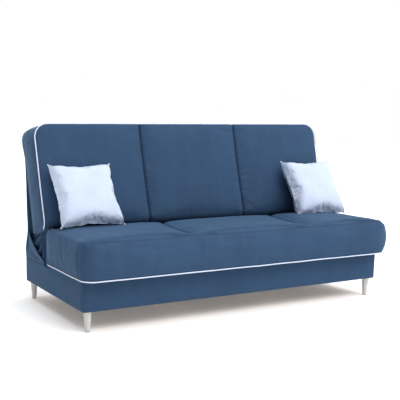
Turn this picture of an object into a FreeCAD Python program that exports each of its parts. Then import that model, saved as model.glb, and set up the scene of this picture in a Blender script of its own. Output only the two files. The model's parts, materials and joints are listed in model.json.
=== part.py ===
"""Click-clack sofa bed with a bedding box, armless, on four tapered legs.

Millimetres, +X along the sofa, +Y from front to rear, +Z up. Left and right are as seen from
in front of the sofa. Everything is first built with the floor at Z = 0 and the front of the
bedding box at Y = 0, and is moved at the end so that the origin is under the middle of the
whole object. Both pads are drawn flat in hinge coordinates (Y away from the crease, Z up from
the hinge line) and are then mirrored or turned into their places.
"""
import FreeCAD, Part
import math
import os

V = FreeCAD.Vector

# ---- Overall sizes ---------------------------------------------------------------------------
PAD_WIDTH = 1892.0            # length of the seat and the back along X, over the fabric
SEAT_LENGTH = 528.0           # crease to front edge of the seat
BACK_LENGTH = 565.0           # crease to top edge of the back
SEAT_THICKNESS = 195.0
BACK_THICKNESS = 215.0
BACK_LEAN = 15.5              # degrees behind upright in the sitting position
LEG_HEIGHT = 105.0
BOX_HEIGHT = 155.0
BOX_DEPTH = 850.0
SEAT_OVERHANG = 66.0          # seat in front of the bedding box
SIDE_OVERHANG = 16.0          # seat past each end of the bedding box

# ---- Crease hinge ----------------------------------------------------------------------------
HINGE_GAP = 8.0               # hinge line to each pad's end face
HINGE_DEPTH = 15.0            # hinge line below the sleeping surface
CREASE_RADIUS = 25.0
CORNER_RADIUS = 65.0
SEAT_NOSE_RADIUS = 30.0
BACK_EDGE_RADIUS = 6.0
SEAT_GAP = 2.0                # seat above the rim of the box
BACK_GAP = 2.0                # flat back above the rear rim of the box

# ---- Upholstery ------------------------------------------------------------------------------
SKIN = 3.0                    # cover and its wadding
SOFT_GAP = 0.5
PIPING_RADIUS = 4.0
FELT = 4.0
DUST_CLOTH = 1.0
FABRIC = 2.0

# ---- Wooden frames ---------------------------------------------------------------------------
RAIL_WIDTH = 30.0
RAIL_HEIGHT = 50.0
CROSS_RAIL_HEIGHT = 32.0
SEAT_FRONT_BORDER = 40.0      # foam edge in front of the seat frame
SEAT_REAR_BORDER = 5.0
BACK_TOP_BORDER = 28.0
BACK_CREASE_BORDER = 14.0
SECTIONS = 3                  # sewn sections of each pad

# ---- Wave springs ----------------------------------------------------------------------------
SPRING_COUNT = 8
SPRING_WIRE_RADIUS = 1.9
SPRING_PITCH = 24.0
SPRING_HALF_WIDTH = 24.0
CLIP_SIZE = (14.0, 18.0, 7.0)
RUNNING_GAP = 0.05            # radial clearance of everything that turns

# ---- Bedding box -----------------------------------------------------------------------------
BOARD = 16.0
BOX_CORNER_RADIUS = 8.0
RIM_STEP_AHEAD = 22.0         # step down of the side rims in front of the hinge line
FLOOR_SHEET = 4.0
BATTEN = (40.0, 20.0)         # width and height of the floor battens
BLOCK = 70.0                  # side of the square leg blocks
LEG_INSET = 35.0
LEG_TOP_RADIUS = 21.0
LEG_FOOT_RADIUS = 12.0
GLIDE_HEIGHT = 3.0
STUD_RADIUS = 4.0
STUD_IN_LEG = 22.0

# ---- Linkage ---------------------------------------------------------------------------------
LINK_LEAN_REST = 45.0         # degrees, leaning rearwards with the sofa closed
LINK_LEAN_BED = 22.0          # degrees, leaning forwards with the bed pulled out
FRONT_LINK_AHEAD = 70.0       # front upper pivot in front of the crease
REAR_LINK_BEHIND = 130.0      # rear upper pivot behind the crease
LINK_RADIUS = 12.0
BAR_RADIUS = 13.0
UPRIGHT_RADIUS = 18.0
BOSS_RADIUS = 11.0
PIN_RADIUS = 5.0
PIN_HEAD = (9.0, 3.0)         # radius and thickness
CREASE_HEAD = (8.0, 2.0)
PLATE = 4.0                   # links, carriers and hinge plates
WALL_PLATE = 3.0              # plate on the side panel
WALL_SCREW_INSET = 40.0       # outer screws of a wall plate in from its pivots
SEAT_POCKET = 117.0           # depth of the slots for the hinge plates, from the crease
BACK_POCKET = 137.0
SEAT_PLATE_KNEE = 38.0        # knees of the hinge plates behind the hinge line
BACK_PLATE_KNEE = (70.0, 0.45)  # with the share of its drop to the rail
SEAT_SCREW_STEPS = (8.0, 30.0, 52.0)
BACK_SCREW_STEPS = (12.0, 38.0, 64.0)
LAYER_GAP = 0.5               # between plates that slide past each other
PIVOT_ABOVE_FLOOR = 17.0
BAR_BELOW_BACK = 5.0
PLATE_FOOT_RADIUS = 18.0
POCKET_CLEARANCE = 3.5
POCKET_ROUND = 16.0
SCREW_RADIUS = 2.0
SCREW_HEAD = (4.0, 1.6)
SCREW_LENGTH = 14.0

# ---- Ratchet ---------------------------------------------------------------------------------
SECTOR_RADIUS = 30.0
TOOTH_DEPTH = 3.5
TOOTH_ANGLES = (-104.0, -119.0, -134.0, -149.0)
SECTOR_MARGIN = 8.0
PAWL_PIVOT_BELOW = 62.0
PAWL_RADIUS = 8.0
PAWL_TIP_RADIUS = 3.2
PAWL_TIP_GAP = 0.8
PAWL_STUD_RADIUS = 4.0

# ---- Loose fabric ----------------------------------------------------------------------------
APRON_UP_BACK = 255.0         # where the apron meets the back, up from the crease
APRON_CLEAR = 1.0
FLAP_TOE_Y = 534.0            # front tip of the flap, at the rim of the box
FLAP_HEAD_Y = 762.0           # upper end of its curved edge
FLAP_HEAD_WIDTH = 40.0
FLAP_RISE = 150.0             # head above the rim
FLAP_SAG = (12.1, 17.6)       # how far the curved edge hangs behind and below a straight one
GUSSET_RADII = (30.0, 174.0)
GUSSET_MARGIN = 2.0           # degrees inside the wedge between the pads' end faces

# ---- Cushions --------------------------------------------------------------------------------
PILLOW_SIDE = 375.0
PILLOW_THICKNESS = 130.0
PILLOW_LEAN = 31.0
PILLOW_CENTRES = {"pillow_left": -735.0, "pillow_right": 750.0}
PILLOW_ABOVE_SEAT = 20.0      # lower seam of a cushion above the seat
PILLOW_BEFORE_BACK = 3.0      # cushion in front of the back at its nearest
PILLOW_LAYERS = ((0.42, -1.0), (0.80, -0.68), (1.0, 0.0), (0.80, 0.68), (0.42, 1.0))  # side and depth shares

# ---- Places worked out from the sizes above --------------------------------------------------
BOX_TOP = LEG_HEIGHT + BOX_HEIGHT
BOX_HALF = PAD_WIDTH / 2 - SIDE_OVERHANG
SEAT_BOTTOM = BOX_TOP + SEAT_GAP
SEAT_TOP = SEAT_BOTTOM + SEAT_THICKNESS
HINGE_Y = SEAT_LENGTH + HINGE_GAP - SEAT_OVERHANG
HINGE_Z = SEAT_TOP - HINGE_DEPTH
RECLINE = 90.0 - BACK_LEAN
FLAT_BACK_BOTTOM = SEAT_TOP - BACK_THICKNESS
REAR_TOP = min(BOX_TOP, FLAT_BACK_BOTTOM - BACK_GAP)
STEP_Y = HINGE_Y - RIM_STEP_AHEAD  # where the side panels step down to the rear rim

PANEL_OUTER = BOX_HALF - FABRIC
PANEL_INNER = PANEL_OUTER - BOARD
FRONT_INNER = FABRIC + BOARD
REAR_INNER = BOX_DEPTH - FABRIC - BOARD
FLOOR_BOTTOM = LEG_HEIGHT + BATTEN[1]
FLOOR_TOP = FLOOR_BOTTOM + FLOOR_SHEET

WALL_PLATE_X = (PANEL_INNER - WALL_PLATE, PANEL_INNER)
LINK_X = (WALL_PLATE_X[0] - LAYER_GAP - PLATE, WALL_PLATE_X[0] - LAYER_GAP)
CARRIER_X = (LINK_X[0] - PIN_HEAD[1] - LAYER_GAP - PLATE, LINK_X[0] - PIN_HEAD[1] - LAYER_GAP)
SEAT_PLATE_X = (CARRIER_X[0] - LAYER_GAP - PLATE, CARRIER_X[0] - LAYER_GAP)
BACK_PLATE_X = (CARRIER_X[1] + LAYER_GAP, CARRIER_X[1] + LAYER_GAP + PLATE)
POCKET_X = (SEAT_PLATE_X[0] - POCKET_CLEARANCE, BACK_PLATE_X[1] + POCKET_CLEARANCE + CREASE_HEAD[1])
GUSSET_X = (PANEL_INNER + 3.0, PANEL_INNER + 6.0)

UPPER_PIVOT_Z = FLAT_BACK_BOTTOM - BAR_BELOW_BACK - BAR_RADIUS
LOWER_PIVOT_Z = FLOOR_TOP + PIVOT_ABOVE_FLOOR
LINK_LENGTH = (UPPER_PIVOT_Z - LOWER_PIVOT_Z) / math.cos(math.radians(LINK_LEAN_REST))
LINK_SET_BACK = LINK_LENGTH * math.sin(math.radians(LINK_LEAN_REST))
UPPER_PIVOTS_Y = (HINGE_Y - FRONT_LINK_AHEAD, HINGE_Y + REAR_LINK_BEHIND)
LOWER_PIVOTS_Y = tuple(y - LINK_SET_BACK for y in UPPER_PIVOTS_Y)

HINGE = V(0, HINGE_Y, HINGE_Z)
ORIGIN = V(0, 0, 0)
ALONG_X = V(1, 0, 0)


# ---- Small helpers ---------------------------------------------------------------------------
def block(x0, x1, y0, y1, z0, z1):
    """Box between two corners."""
    return Part.makeBox(x1 - x0, y1 - y0, z1 - z0, V(x0, y0, z0))


def rod_x(radius, x0, x1, y, z):
    """Cylinder along X."""
    return Part.makeCylinder(radius, x1 - x0, V(x0, y, z), ALONG_X)


def plate_x(wire, x0, x1):
    """Plate of a closed wire drawn at X = 0, from x0 to x1."""
    return Part.Face(wire).extrude(V(x1 - x0, 0, 0)).translated(V(x0, 0, 0))


def outline_x(points):
    """Closed straight-edged wire through (y, z) points at X = 0."""
    corners = [V(0, y, z) for y, z in points]
    return Part.makePolygon(corners + corners[:1])


def strap(start, start_radius, end, end_radius, x0, x1):
    """Flat bar between two (y, z) points with a round end at each, its sides tangent to both."""
    dy = end[0] - start[0]
    dz = end[1] - start[1]
    length = math.hypot(dy, dz)
    heading = math.atan2(dz, dy)
    flare = math.acos((start_radius - end_radius) / length)
    corners = []
    for centre, radius, side in ((start, start_radius, 1), (end, end_radius, 1),
                                 (end, end_radius, -1), (start, start_radius, -1)):
        angle = heading + side * flare
        corners.append((centre[0] + radius * math.cos(angle), centre[1] + radius * math.sin(angle)))
    body = plate_x(outline_x(corners), x0, x1)
    ends = [rod_x(start_radius, x0, x1, *start), rod_x(end_radius, x0, x1, *end)]
    return body.fuse(ends).removeSplitter()


def mirrored(shape, normal=ALONG_X):
    """Mirror image through the plane at the origin with this normal."""
    return shape.mirror(ORIGIN, normal)


def both_sides(shape):
    """A right-hand shape and its left-hand twin."""
    return [mirrored(shape), shape]


def group(shapes):
    """Separate solids in one node."""
    return Part.makeCompound(shapes)


def tube(edges, radius):
    """Round tube along a path of lines and arcs."""
    path = Part.Wire(edges)
    start = edges[0].valueAt(edges[0].FirstParameter)
    heading = edges[0].tangentAt(edges[0].FirstParameter)
    ring = Part.Wire(Part.makeCircle(radius, start, heading))
    return path.makePipeShell([ring], True, True)


def seat_place(shape):
    """From hinge coordinates to the seat's place."""
    return mirrored(shape, V(0, 1, 0)).translated(HINGE)


def back_place(shape):
    """From hinge coordinates to the back's sitting place."""
    turned = shape.copy()
    turned.rotate(ORIGIN, ALONG_X, RECLINE)
    return turned.translated(HINGE)


# ---- Pads ------------------------------------------------------------------------------------
def plan_prism(length, inset, z0, z1):
    """Prism of a pad's plan: square at the crease, rounded at the two far corners."""
    half = PAD_WIDTH / 2 - inset
    near = HINGE_GAP + inset
    far = HINGE_GAP + length - inset
    radius = CORNER_RADIUS - inset
    prism = block(-half, half, near, far, z0, z1)
    far_edges = [e for e in prism.Edges
                 if abs(e.BoundBox.ZLength - (z1 - z0)) < 1e-6 and abs(e.BoundBox.YMax - far) < 1e-6]
    return prism.makeFillet(radius, far_edges)


def pad_block(length, thickness, far_radius, inset=0.0):
    """Closed block of a pad in hinge coordinates, shrunk by an inset on every side."""
    near = HINGE_GAP + inset
    far = HINGE_GAP + length - inset
    top = HINGE_DEPTH - inset
    bottom = HINGE_DEPTH - thickness + inset
    near_r = CREASE_RADIUS - inset
    far_r = far_radius - inset
    bend = math.sqrt(0.5)
    far_mid = V(0, far - far_r * (1 - bend), top - far_r * (1 - bend))
    near_mid = V(0, near + near_r * (1 - bend), top - near_r * (1 - bend))
    edges = [
        Part.makeLine(V(0, near, bottom), V(0, far, bottom)),
        Part.makeLine(V(0, far, bottom), V(0, far, top - far_r)),
        Part.Arc(V(0, far, top - far_r), far_mid, V(0, far - far_r, top)).toShape(),
        Part.makeLine(V(0, far - far_r, top), V(0, near + near_r, top)),
        Part.Arc(V(0, near + near_r, top), near_mid, V(0, near, top - near_r)).toShape(),
        Part.makeLine(V(0, near, top - near_r), V(0, near, bottom)),
    ]
    half = PAD_WIDTH / 2 - inset
    profile = plate_x(Part.Wire(edges), -half, half)
    return profile.common(plan_prism(length, inset, bottom - 1, top + 1))


def pockets(reach, thickness):
    """Slots at both ends of a pad, open at the crease, that hold the hinge plates."""
    slot = block(POCKET_X[0], POCKET_X[1], 0, HINGE_GAP + reach, HINGE_DEPTH - thickness - 1, 0)
    slot = slot.fuse(rod_x(POCKET_ROUND, POCKET_X[0], POCKET_X[1], 0, 0))
    return both_sides(slot)


def piping_path(length, z):
    """U-shaped path round a pad's two ends and far edge, just outside the fabric."""
    half = PAD_WIDTH / 2 + PIPING_RADIUS
    far = HINGE_GAP + length + PIPING_RADIUS
    near = HINGE_GAP + CREASE_RADIUS
    radius = CORNER_RADIUS + PIPING_RADIUS
    bend = radius * (1 - math.sqrt(0.5))
    turn = far - radius
    return [
        Part.makeLine(V(-half, near, z), V(-half, turn, z)),
        Part.Arc(V(-half, turn, z), V(-half + bend, far - bend, z), V(-half + radius, far, z)).toShape(),
        Part.makeLine(V(-half + radius, far, z), V(half - radius, far, z)),
        Part.Arc(V(half - radius, far, z), V(half - bend, far - bend, z), V(half, turn, z)).toShape(),
        Part.makeLine(V(half, turn, z), V(half, near, z)),
    ]


def wave_spring(x, y0, y1, z):
    """Wave spring lying flat from y0 to y1: a straight end, even loops and a straight end."""
    r = SPRING_PITCH / 2
    loops = int((y1 - y0 - 2 * CLIP_SIZE[0] - 2 * r) // SPRING_PITCH)
    loops -= 1 - loops % 2
    lead = (y1 - y0 - 2 * r - loops * SPRING_PITCH) / 2
    bend = r * (1 - math.sqrt(0.5))
    side = 1
    y = y0 + lead
    edges = [Part.makeLine(V(x, y0, z), V(x, y, z)),
             Part.Arc(V(x, y, z), V(x + bend, y + r - bend, z), V(x + r, y + r, z)).toShape()]
    at_x = x + r
    y += r
    for _ in range(loops):
        turn_x = x + side * SPRING_HALF_WIDTH
        edges.append(Part.makeLine(V(at_x, y, z), V(turn_x, y, z)))
        edges.append(Part.Arc(V(turn_x, y, z), V(turn_x + side * r, y + r, z),
                              V(turn_x, y + 2 * r, z)).toShape())
        at_x = turn_x
        y += 2 * r
        side = -side
    corner_x = x + side * r
    edges.append(Part.makeLine(V(at_x, y, z), V(corner_x, y, z)))
    edges.append(Part.Arc(V(corner_x, y, z), V(x + side * bend, y + bend, z), V(x, y + r, z)).toShape())
    edges.append(Part.makeLine(V(x, y + r, z), V(x, y1, z)))
    return tube(edges, SPRING_WIRE_RADIUS)


def spring_places():
    """X of each wave spring, evenly spread along a pad."""
    pitch = (2 * SEAT_PLATE_X[0] - 2 * RAIL_WIDTH) / SPRING_COUNT
    return [pitch * (i + 0.5 - SPRING_COUNT / 2) for i in range(SPRING_COUNT)]


def spring_clips(y, z):
    """Row of clips that hold the spring ends down on a rail."""
    depth, width, height = CLIP_SIZE
    clips = []
    for x in spring_places():
        clip = block(x - width / 2, x + width / 2, y - depth / 2, y + depth / 2, z, z + height)
        bore = Part.makeCylinder(SPRING_WIRE_RADIUS + RUNNING_GAP, depth, V(x, y - depth / 2, z + height / 2),
                                 V(0, 1, 0))
        clips.append(clip.cut(bore))
    return clips


def plate_screws(places, x):
    """Screws along X through the right-hand hinge plate, heads outwards, and their twins."""
    screws = []
    for y, z in places:
        shank = rod_x(SCREW_RADIUS, x - SCREW_LENGTH, x, y, z)
        head = rod_x(SCREW_HEAD[0], x, x + SCREW_HEAD[1], y, z)
        screws += both_sides(shank.fuse(head).removeSplitter())
    return screws


def holes(shape, places, radius=SCREW_RADIUS):
    """The shape with bores along X at (y, z) places, right through it."""
    limit = PAD_WIDTH
    return shape.cut([rod_x(radius, -limit, limit, y, z) for y, z in places])


def pad_nodes(name, length, thickness, far_radius, frame_half, near_border, far_border, pocket_reach):
    """Frame, springs, felt, foam, cover and piping of one pad, in hinge coordinates."""
    bottom = HINGE_DEPTH - thickness
    frame_z = bottom + SKIN
    frame_top = frame_z + RAIL_HEIGHT
    felt_z = frame_top + CLIP_SIZE[2]
    near = HINGE_GAP + SKIN + near_border
    far = HINGE_GAP + length - SKIN - far_border
    slots = pockets(pocket_reach, thickness)
    inner_half = frame_half - RAIL_WIDTH

    near_rail = block(-frame_half, frame_half, near, near + RAIL_WIDTH, frame_z, frame_top)
    far_rail = block(-frame_half, frame_half, far - RAIL_WIDTH, far, frame_z, frame_top)
    side_rail = block(inner_half, frame_half, near + RAIL_WIDTH, far - RAIL_WIDTH, frame_z, frame_top)
    cross_z = frame_z + CROSS_RAIL_HEIGHT
    section = PAD_WIDTH / SECTIONS
    cross_rails = [block(x - RAIL_WIDTH / 2, x + RAIL_WIDTH / 2, near + RAIL_WIDTH, far - RAIL_WIDTH,
                         frame_z, cross_z) for x in (-section / 2, section / 2)]
    wire_z = frame_top + CLIP_SIZE[2] / 2
    springs = [wave_spring(x, near + (RAIL_WIDTH - CLIP_SIZE[0]) / 2, far - (RAIL_WIDTH - CLIP_SIZE[0]) / 2,
                           wire_z) for x in spring_places()]
    felt = block(-frame_half, frame_half, near, far, felt_z, felt_z + FELT)

    bay = block(-frame_half - SOFT_GAP, frame_half + SOFT_GAP, near - SOFT_GAP, far + SOFT_GAP,
                bottom - 1, felt_z + FELT)
    outer = pad_block(length, thickness, far_radius)
    inner = pad_block(length, thickness, far_radius, SKIN)
    foam = pad_block(length, thickness, far_radius, SKIN + SOFT_GAP).cut([bay] + slots)
    cover = outer.cut(inner).cut(slots)
    return {
        name + "_near_rail": near_rail,
        name + "_far_rail": far_rail,
        name + "_side_rails": side_rail,
        name + "_cross_rails": cross_rails,
        name + "_springs": springs,
        name + "_clips": spring_clips(near + RAIL_WIDTH / 2, frame_top)
        + spring_clips(far - RAIL_WIDTH / 2, frame_top),
        name + "_felt": felt,
        name + "_foam": foam,
        name + "_cover": cover,
        "frame_middle_z": frame_z + RAIL_HEIGHT / 2,
        "frame_box": (near, far, frame_z, frame_top),
    }


def make_seat():
    """Seat: frame, springs, upholstery, piping and hinge plates."""
    frame_half = SEAT_PLATE_X[0]
    pad = pad_nodes("seat", SEAT_LENGTH, SEAT_THICKNESS, SEAT_NOSE_RADIUS, frame_half,
                    SEAT_REAR_BORDER, SEAT_FRONT_BORDER, SEAT_POCKET)
    near, far, frame_z, frame_top = pad["frame_box"]
    foot_z = pad["frame_middle_z"]
    screws = [(near + RAIL_WIDTH + step, foot_z) for step in SEAT_SCREW_STEPS]

    knee = (SEAT_PLATE_KNEE, foot_z)
    plate = strap((0, 0), BOSS_RADIUS, knee, PLATE_FOOT_RADIUS, *SEAT_PLATE_X)
    plate = plate.fuse(strap(knee, PLATE_FOOT_RADIUS, (screws[-1][0] + 4.0, foot_z),
                             PLATE_FOOT_RADIUS - 4.0, *SEAT_PLATE_X)).removeSplitter()
    plate = holes(holes(plate, screws), [(0, 0)], PIN_RADIUS + RUNNING_GAP)
    side_rail = holes(pad["seat_side_rails"], screws)

    bottom = HINGE_DEPTH - SEAT_THICKNESS
    rim = RAIL_WIDTH / 2
    opening = block(-frame_half + rim, frame_half - rim, near + rim, far - rim, bottom - 1, frame_z)
    cloth = block(-frame_half + rim + SOFT_GAP, frame_half - rim - SOFT_GAP, near + rim + SOFT_GAP,
                  far - rim - SOFT_GAP, frame_z - DUST_CLOTH, frame_z)
    piping = tube(piping_path(SEAT_LENGTH, bottom + PIPING_RADIUS), PIPING_RADIUS)
    nodes = {
        "seat_front_rail": pad["seat_far_rail"],
        "seat_rear_rail": pad["seat_near_rail"],
        "seat_side_rails": group(both_sides(side_rail)),
        "seat_cross_rails": group(pad["seat_cross_rails"]),
        "seat_wave_springs": group(pad["seat_springs"]),
        "seat_spring_clips": group(pad["seat_clips"]),
        "seat_felt": pad["seat_felt"],
        "seat_foam": pad["seat_foam"],
        "seat_cover": pad["seat_cover"].cut(opening),
        "seat_dust_cloth": cloth,
        "seat_piping": piping,
        "seat_hinge_plate_left": mirrored(plate),
        "seat_hinge_plate_right": plate,
        "seat_plate_screws": group(plate_screws(screws, SEAT_PLATE_X[1])),
    }
    return {name: seat_place(shape) for name, shape in nodes.items()}


def ratchet_sector():
    """Toothed sector round the hinge line, on the back's right-hand hinge plate."""
    first = -90.0 + SECTOR_MARGIN
    last = -90.0 - RECLINE - SECTOR_MARGIN
    x0, x1 = BACK_PLATE_X
    sweep = first - last
    disc = Part.makeCylinder(SECTOR_RADIUS, x1 - x0, V(x0, 0, 0), ALONG_X, sweep)
    start = math.degrees(math.atan2(disc.CenterOfMass.z, disc.CenterOfMass.y))
    disc.rotate(ORIGIN, ALONG_X, (first + last) / 2 - start)
    for angle in TOOTH_ANGLES:
        notch = rod_x(TOOTH_DEPTH, x0, x1, SECTOR_RADIUS * math.cos(math.radians(angle)),
                      SECTOR_RADIUS * math.sin(math.radians(angle)))
        disc = disc.cut(notch)
    return disc


def make_back():
    """Back: frame, springs, upholstery, piping, hinge plates with ratchets, and the rear apron."""
    frame_half = BACK_PLATE_X[0]
    pad = pad_nodes("back", BACK_LENGTH, BACK_THICKNESS, BACK_EDGE_RADIUS + SKIN, frame_half,
                    BACK_CREASE_BORDER, BACK_TOP_BORDER, BACK_POCKET)
    near, far, frame_z, frame_top = pad["frame_box"]
    foot_z = pad["frame_middle_z"]
    knee = (BACK_PLATE_KNEE[0], foot_z * BACK_PLATE_KNEE[1])
    ankle = (BACK_PLATE_KNEE[0], foot_z)
    screws = [(near + RAIL_WIDTH + step, foot_z) for step in BACK_SCREW_STEPS]

    x0, x1 = BACK_PLATE_X
    plate = strap((0, 0), BOSS_RADIUS, knee, BOSS_RADIUS + 3.0, x0, x1)
    plate = plate.fuse([strap(knee, BOSS_RADIUS + 3.0, ankle, PLATE_FOOT_RADIUS, x0, x1),
                        strap(ankle, PLATE_FOOT_RADIUS, (screws[-1][0], foot_z), BOSS_RADIUS + 3.0, x0, x1),
                        ratchet_sector()]).removeSplitter()
    plate = holes(holes(plate, screws), [(0, 0)], PIN_RADIUS + RUNNING_GAP)
    side_rail = holes(pad["back_side_rails"], screws)
    piping = tube(piping_path(BACK_LENGTH, HINGE_DEPTH - PIPING_RADIUS - SKIN), PIPING_RADIUS)
    nodes = {
        "back_top_rail": pad["back_far_rail"],
        "back_bottom_rail": pad["back_near_rail"],
        "back_side_rails": group(both_sides(side_rail) + pad["back_cross_rails"]),
        "back_wave_springs": group(pad["back_springs"]),
        "back_felt": pad["back_felt"],
        "back_foam": pad["back_foam"],
        "back_cover": pad["back_cover"],
        "back_piping": piping,
        "back_hinge_plate_left": mirrored(plate),
        "back_hinge_plate_right": plate,
        "back_plate_screws": group(plate_screws(screws, BACK_PLATE_X[1])),
    }
    placed = {name: back_place(shape) for name, shape in nodes.items()}
    placed["rear_apron"] = make_rear_apron()
    return placed


def rear_face_point(up, off=0.0):
    """(y, z) of a point on the back's rear face in the sitting position."""
    lean = math.radians(BACK_LEAN)
    depth = BACK_THICKNESS - HINGE_DEPTH + off
    return (HINGE_Y + up * math.sin(lean) + depth * math.cos(lean),
            HINGE_Z + up * math.cos(lean) - depth * math.sin(lean))


def make_rear_apron():
    """Fabric from the back's rear face down to the rear rim of the bedding box."""
    top_y, top_z = rear_face_point(APRON_UP_BACK, APRON_CLEAR)
    foot_y = BOX_DEPTH - FABRIC
    foot_z = REAR_TOP + APRON_CLEAR
    points = [(top_y, top_z), (foot_y - FABRIC, foot_z), (foot_y, foot_z), (top_y + FABRIC, top_z)]
    return plate_x(outline_x(points), -PANEL_OUTER, PANEL_OUTER)


# ---- Bedding box -----------------------------------------------------------------------------
def box_steps(y_front, y_rear, inset):
    """Side outline of the box between two Y values: full height in front, lower at the rear."""
    front_top = BOX_TOP - inset
    rear_top = REAR_TOP - inset
    return outline_x([(y_front, LEG_HEIGHT), (y_rear, LEG_HEIGHT), (y_rear, rear_top),
                      (STEP_Y, rear_top), (STEP_Y, front_top), (y_front, front_top)])


def rounded_box(half, y_front, y_rear, top, radius):
    """Upright prism with rounded vertical edges, from the bottom of the box up."""
    prism = block(-half, half, y_front, y_rear, LEG_HEIGHT, top)
    upright = [e for e in prism.Edges if abs(e.BoundBox.ZLength - (top - LEG_HEIGHT)) < 1e-6]
    return prism.makeFillet(radius, upright)


def rail_screw_places():
    """(y, z) of the screws that hold a wall plate."""
    middle = (LOWER_PIVOTS_Y[0] + LOWER_PIVOTS_Y[1]) / 2
    spread = (LOWER_PIVOTS_Y[1] - LOWER_PIVOTS_Y[0]) / 2 - WALL_SCREW_INSET
    return [(middle - spread, LOWER_PIVOT_Z), (middle, LOWER_PIVOT_Z), (middle + spread, LOWER_PIVOT_Z)]


def leg_places():
    """Name and (x, y) of each leg."""
    x = BOX_HALF - LEG_INSET
    front = LEG_INSET
    rear = BOX_DEPTH - LEG_INSET
    return {"leg_front_left": (-x, front), "leg_front_right": (x, front),
            "leg_rear_left": (-x, rear), "leg_rear_right": (x, rear)}


def make_box():
    """Panels, floor, cover and flaps of the bedding box."""
    outer = rounded_box(PANEL_OUTER, FABRIC, BOX_DEPTH - FABRIC, BOX_TOP - FABRIC,
                        BOX_CORNER_RADIUS - FABRIC)
    profile = plate_x(box_steps(FABRIC, BOX_DEPTH - FABRIC, FABRIC), -PANEL_OUTER, PANEL_OUTER)
    walls = outer.common(profile)
    front = walls.common(block(-BOX_HALF, BOX_HALF, 0, FRONT_INNER, 0, BOX_TOP))
    rear = walls.common(block(-BOX_HALF, BOX_HALF, REAR_INNER, BOX_DEPTH, 0, BOX_TOP))
    side = walls.common(block(PANEL_INNER, BOX_HALF, FRONT_INNER, REAR_INNER, 0, BOX_TOP))
    side = holes(side, rail_screw_places())

    skin = rounded_box(BOX_HALF, 0, BOX_DEPTH, BOX_TOP, BOX_CORNER_RADIUS)
    skin = skin.common(plate_x(box_steps(0, BOX_DEPTH, 0), -BOX_HALF, BOX_HALF))
    hollow = block(-PANEL_INNER, PANEL_INNER, FRONT_INNER, REAR_INNER, 0, BOX_TOP + 1)
    cover = skin.cut([walls, hollow])

    floor = block(-PANEL_INNER, PANEL_INNER, FRONT_INNER, REAR_INNER, FLOOR_BOTTOM, FLOOR_TOP)
    width, height = BATTEN
    edge = PANEL_INNER - BLOCK
    battens = []
    for y in (FRONT_INNER, REAR_INNER - width):
        battens.append(block(-edge, edge, y, y + width, LEG_HEIGHT, LEG_HEIGHT + height))
    section = PANEL_INNER * 2 / SECTIONS
    for x in (-section / 2, section / 2):
        battens.append(block(x - width / 2, x + width / 2, FRONT_INNER + width, REAR_INNER - width,
                             LEG_HEIGHT, LEG_HEIGHT + height))
    blocks = []
    for x0 in (-PANEL_INNER, PANEL_INNER - BLOCK):
        for y0 in (FRONT_INNER, REAR_INNER - BLOCK):
            blocks.append(block(x0, x0 + BLOCK, y0, y0 + BLOCK, LEG_HEIGHT, FLOOR_BOTTOM))
    for x, y in leg_places().values():
        bore = Part.makeCylinder(STUD_RADIUS, BATTEN[1], V(x, y, LEG_HEIGHT))
        blocks = [piece.cut(bore) for piece in blocks]
    flap = make_flap()
    return {
        "box_front_panel": front,
        "box_rear_panel": rear,
        "box_side_panel_left": mirrored(side),
        "box_side_panel_right": side,
        "box_floor": floor,
        "floor_battens": group(battens),
        "leg_blocks": group(blocks),
        "box_cover": cover,
        "side_flap_left": mirrored(flap),
        "side_flap_right": flap,
    }


def make_flap():
    """Right-hand triangular flap of cover fabric, from the rear corner of the box up the back."""
    foot_z = REAR_TOP + APRON_CLEAR
    toe = V(0, FLAP_TOE_Y, BOX_TOP + FABRIC)
    head = V(0, FLAP_HEAD_Y, BOX_TOP + FLAP_RISE)
    middle = (toe + head) * 0.5 + V(0, FLAP_SAG[0], -FLAP_SAG[1])
    heel = V(0, BOX_DEPTH - FABRIC, foot_z)
    shoulder = V(0, FLAP_HEAD_Y + FLAP_HEAD_WIDTH, BOX_TOP + FLAP_RISE)
    edges = [
        Part.Arc(toe, middle, head).toShape(),
        Part.makeLine(head, shoulder),
        Part.makeLine(shoulder, heel),
        Part.makeLine(heel, V(0, FLAP_TOE_Y, foot_z)),
        Part.makeLine(V(0, FLAP_TOE_Y, foot_z), toe),
    ]
    return plate_x(Part.Wire(edges), PANEL_OUTER, BOX_HALF)


def make_legs():
    """Tapered legs with their studs and glides."""
    nodes = {}
    studs = []
    glides = []
    for name, (x, y) in leg_places().items():
        cone = Part.makeCone(LEG_FOOT_RADIUS, LEG_TOP_RADIUS, LEG_HEIGHT - GLIDE_HEIGHT, V(x, y, GLIDE_HEIGHT))
        bore_z = LEG_HEIGHT - STUD_IN_LEG
        nodes[name] = cone.cut(Part.makeCylinder(STUD_RADIUS, STUD_IN_LEG, V(x, y, bore_z)))
        studs.append(Part.makeCylinder(STUD_RADIUS, STUD_IN_LEG + BATTEN[1], V(x, y, bore_z)))
        glides.append(Part.makeCylinder(LEG_FOOT_RADIUS - 1.0, GLIDE_HEIGHT, V(x, y, 0)))
    nodes["leg_studs"] = group(studs)
    nodes["leg_glides"] = group(glides)
    return nodes


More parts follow.
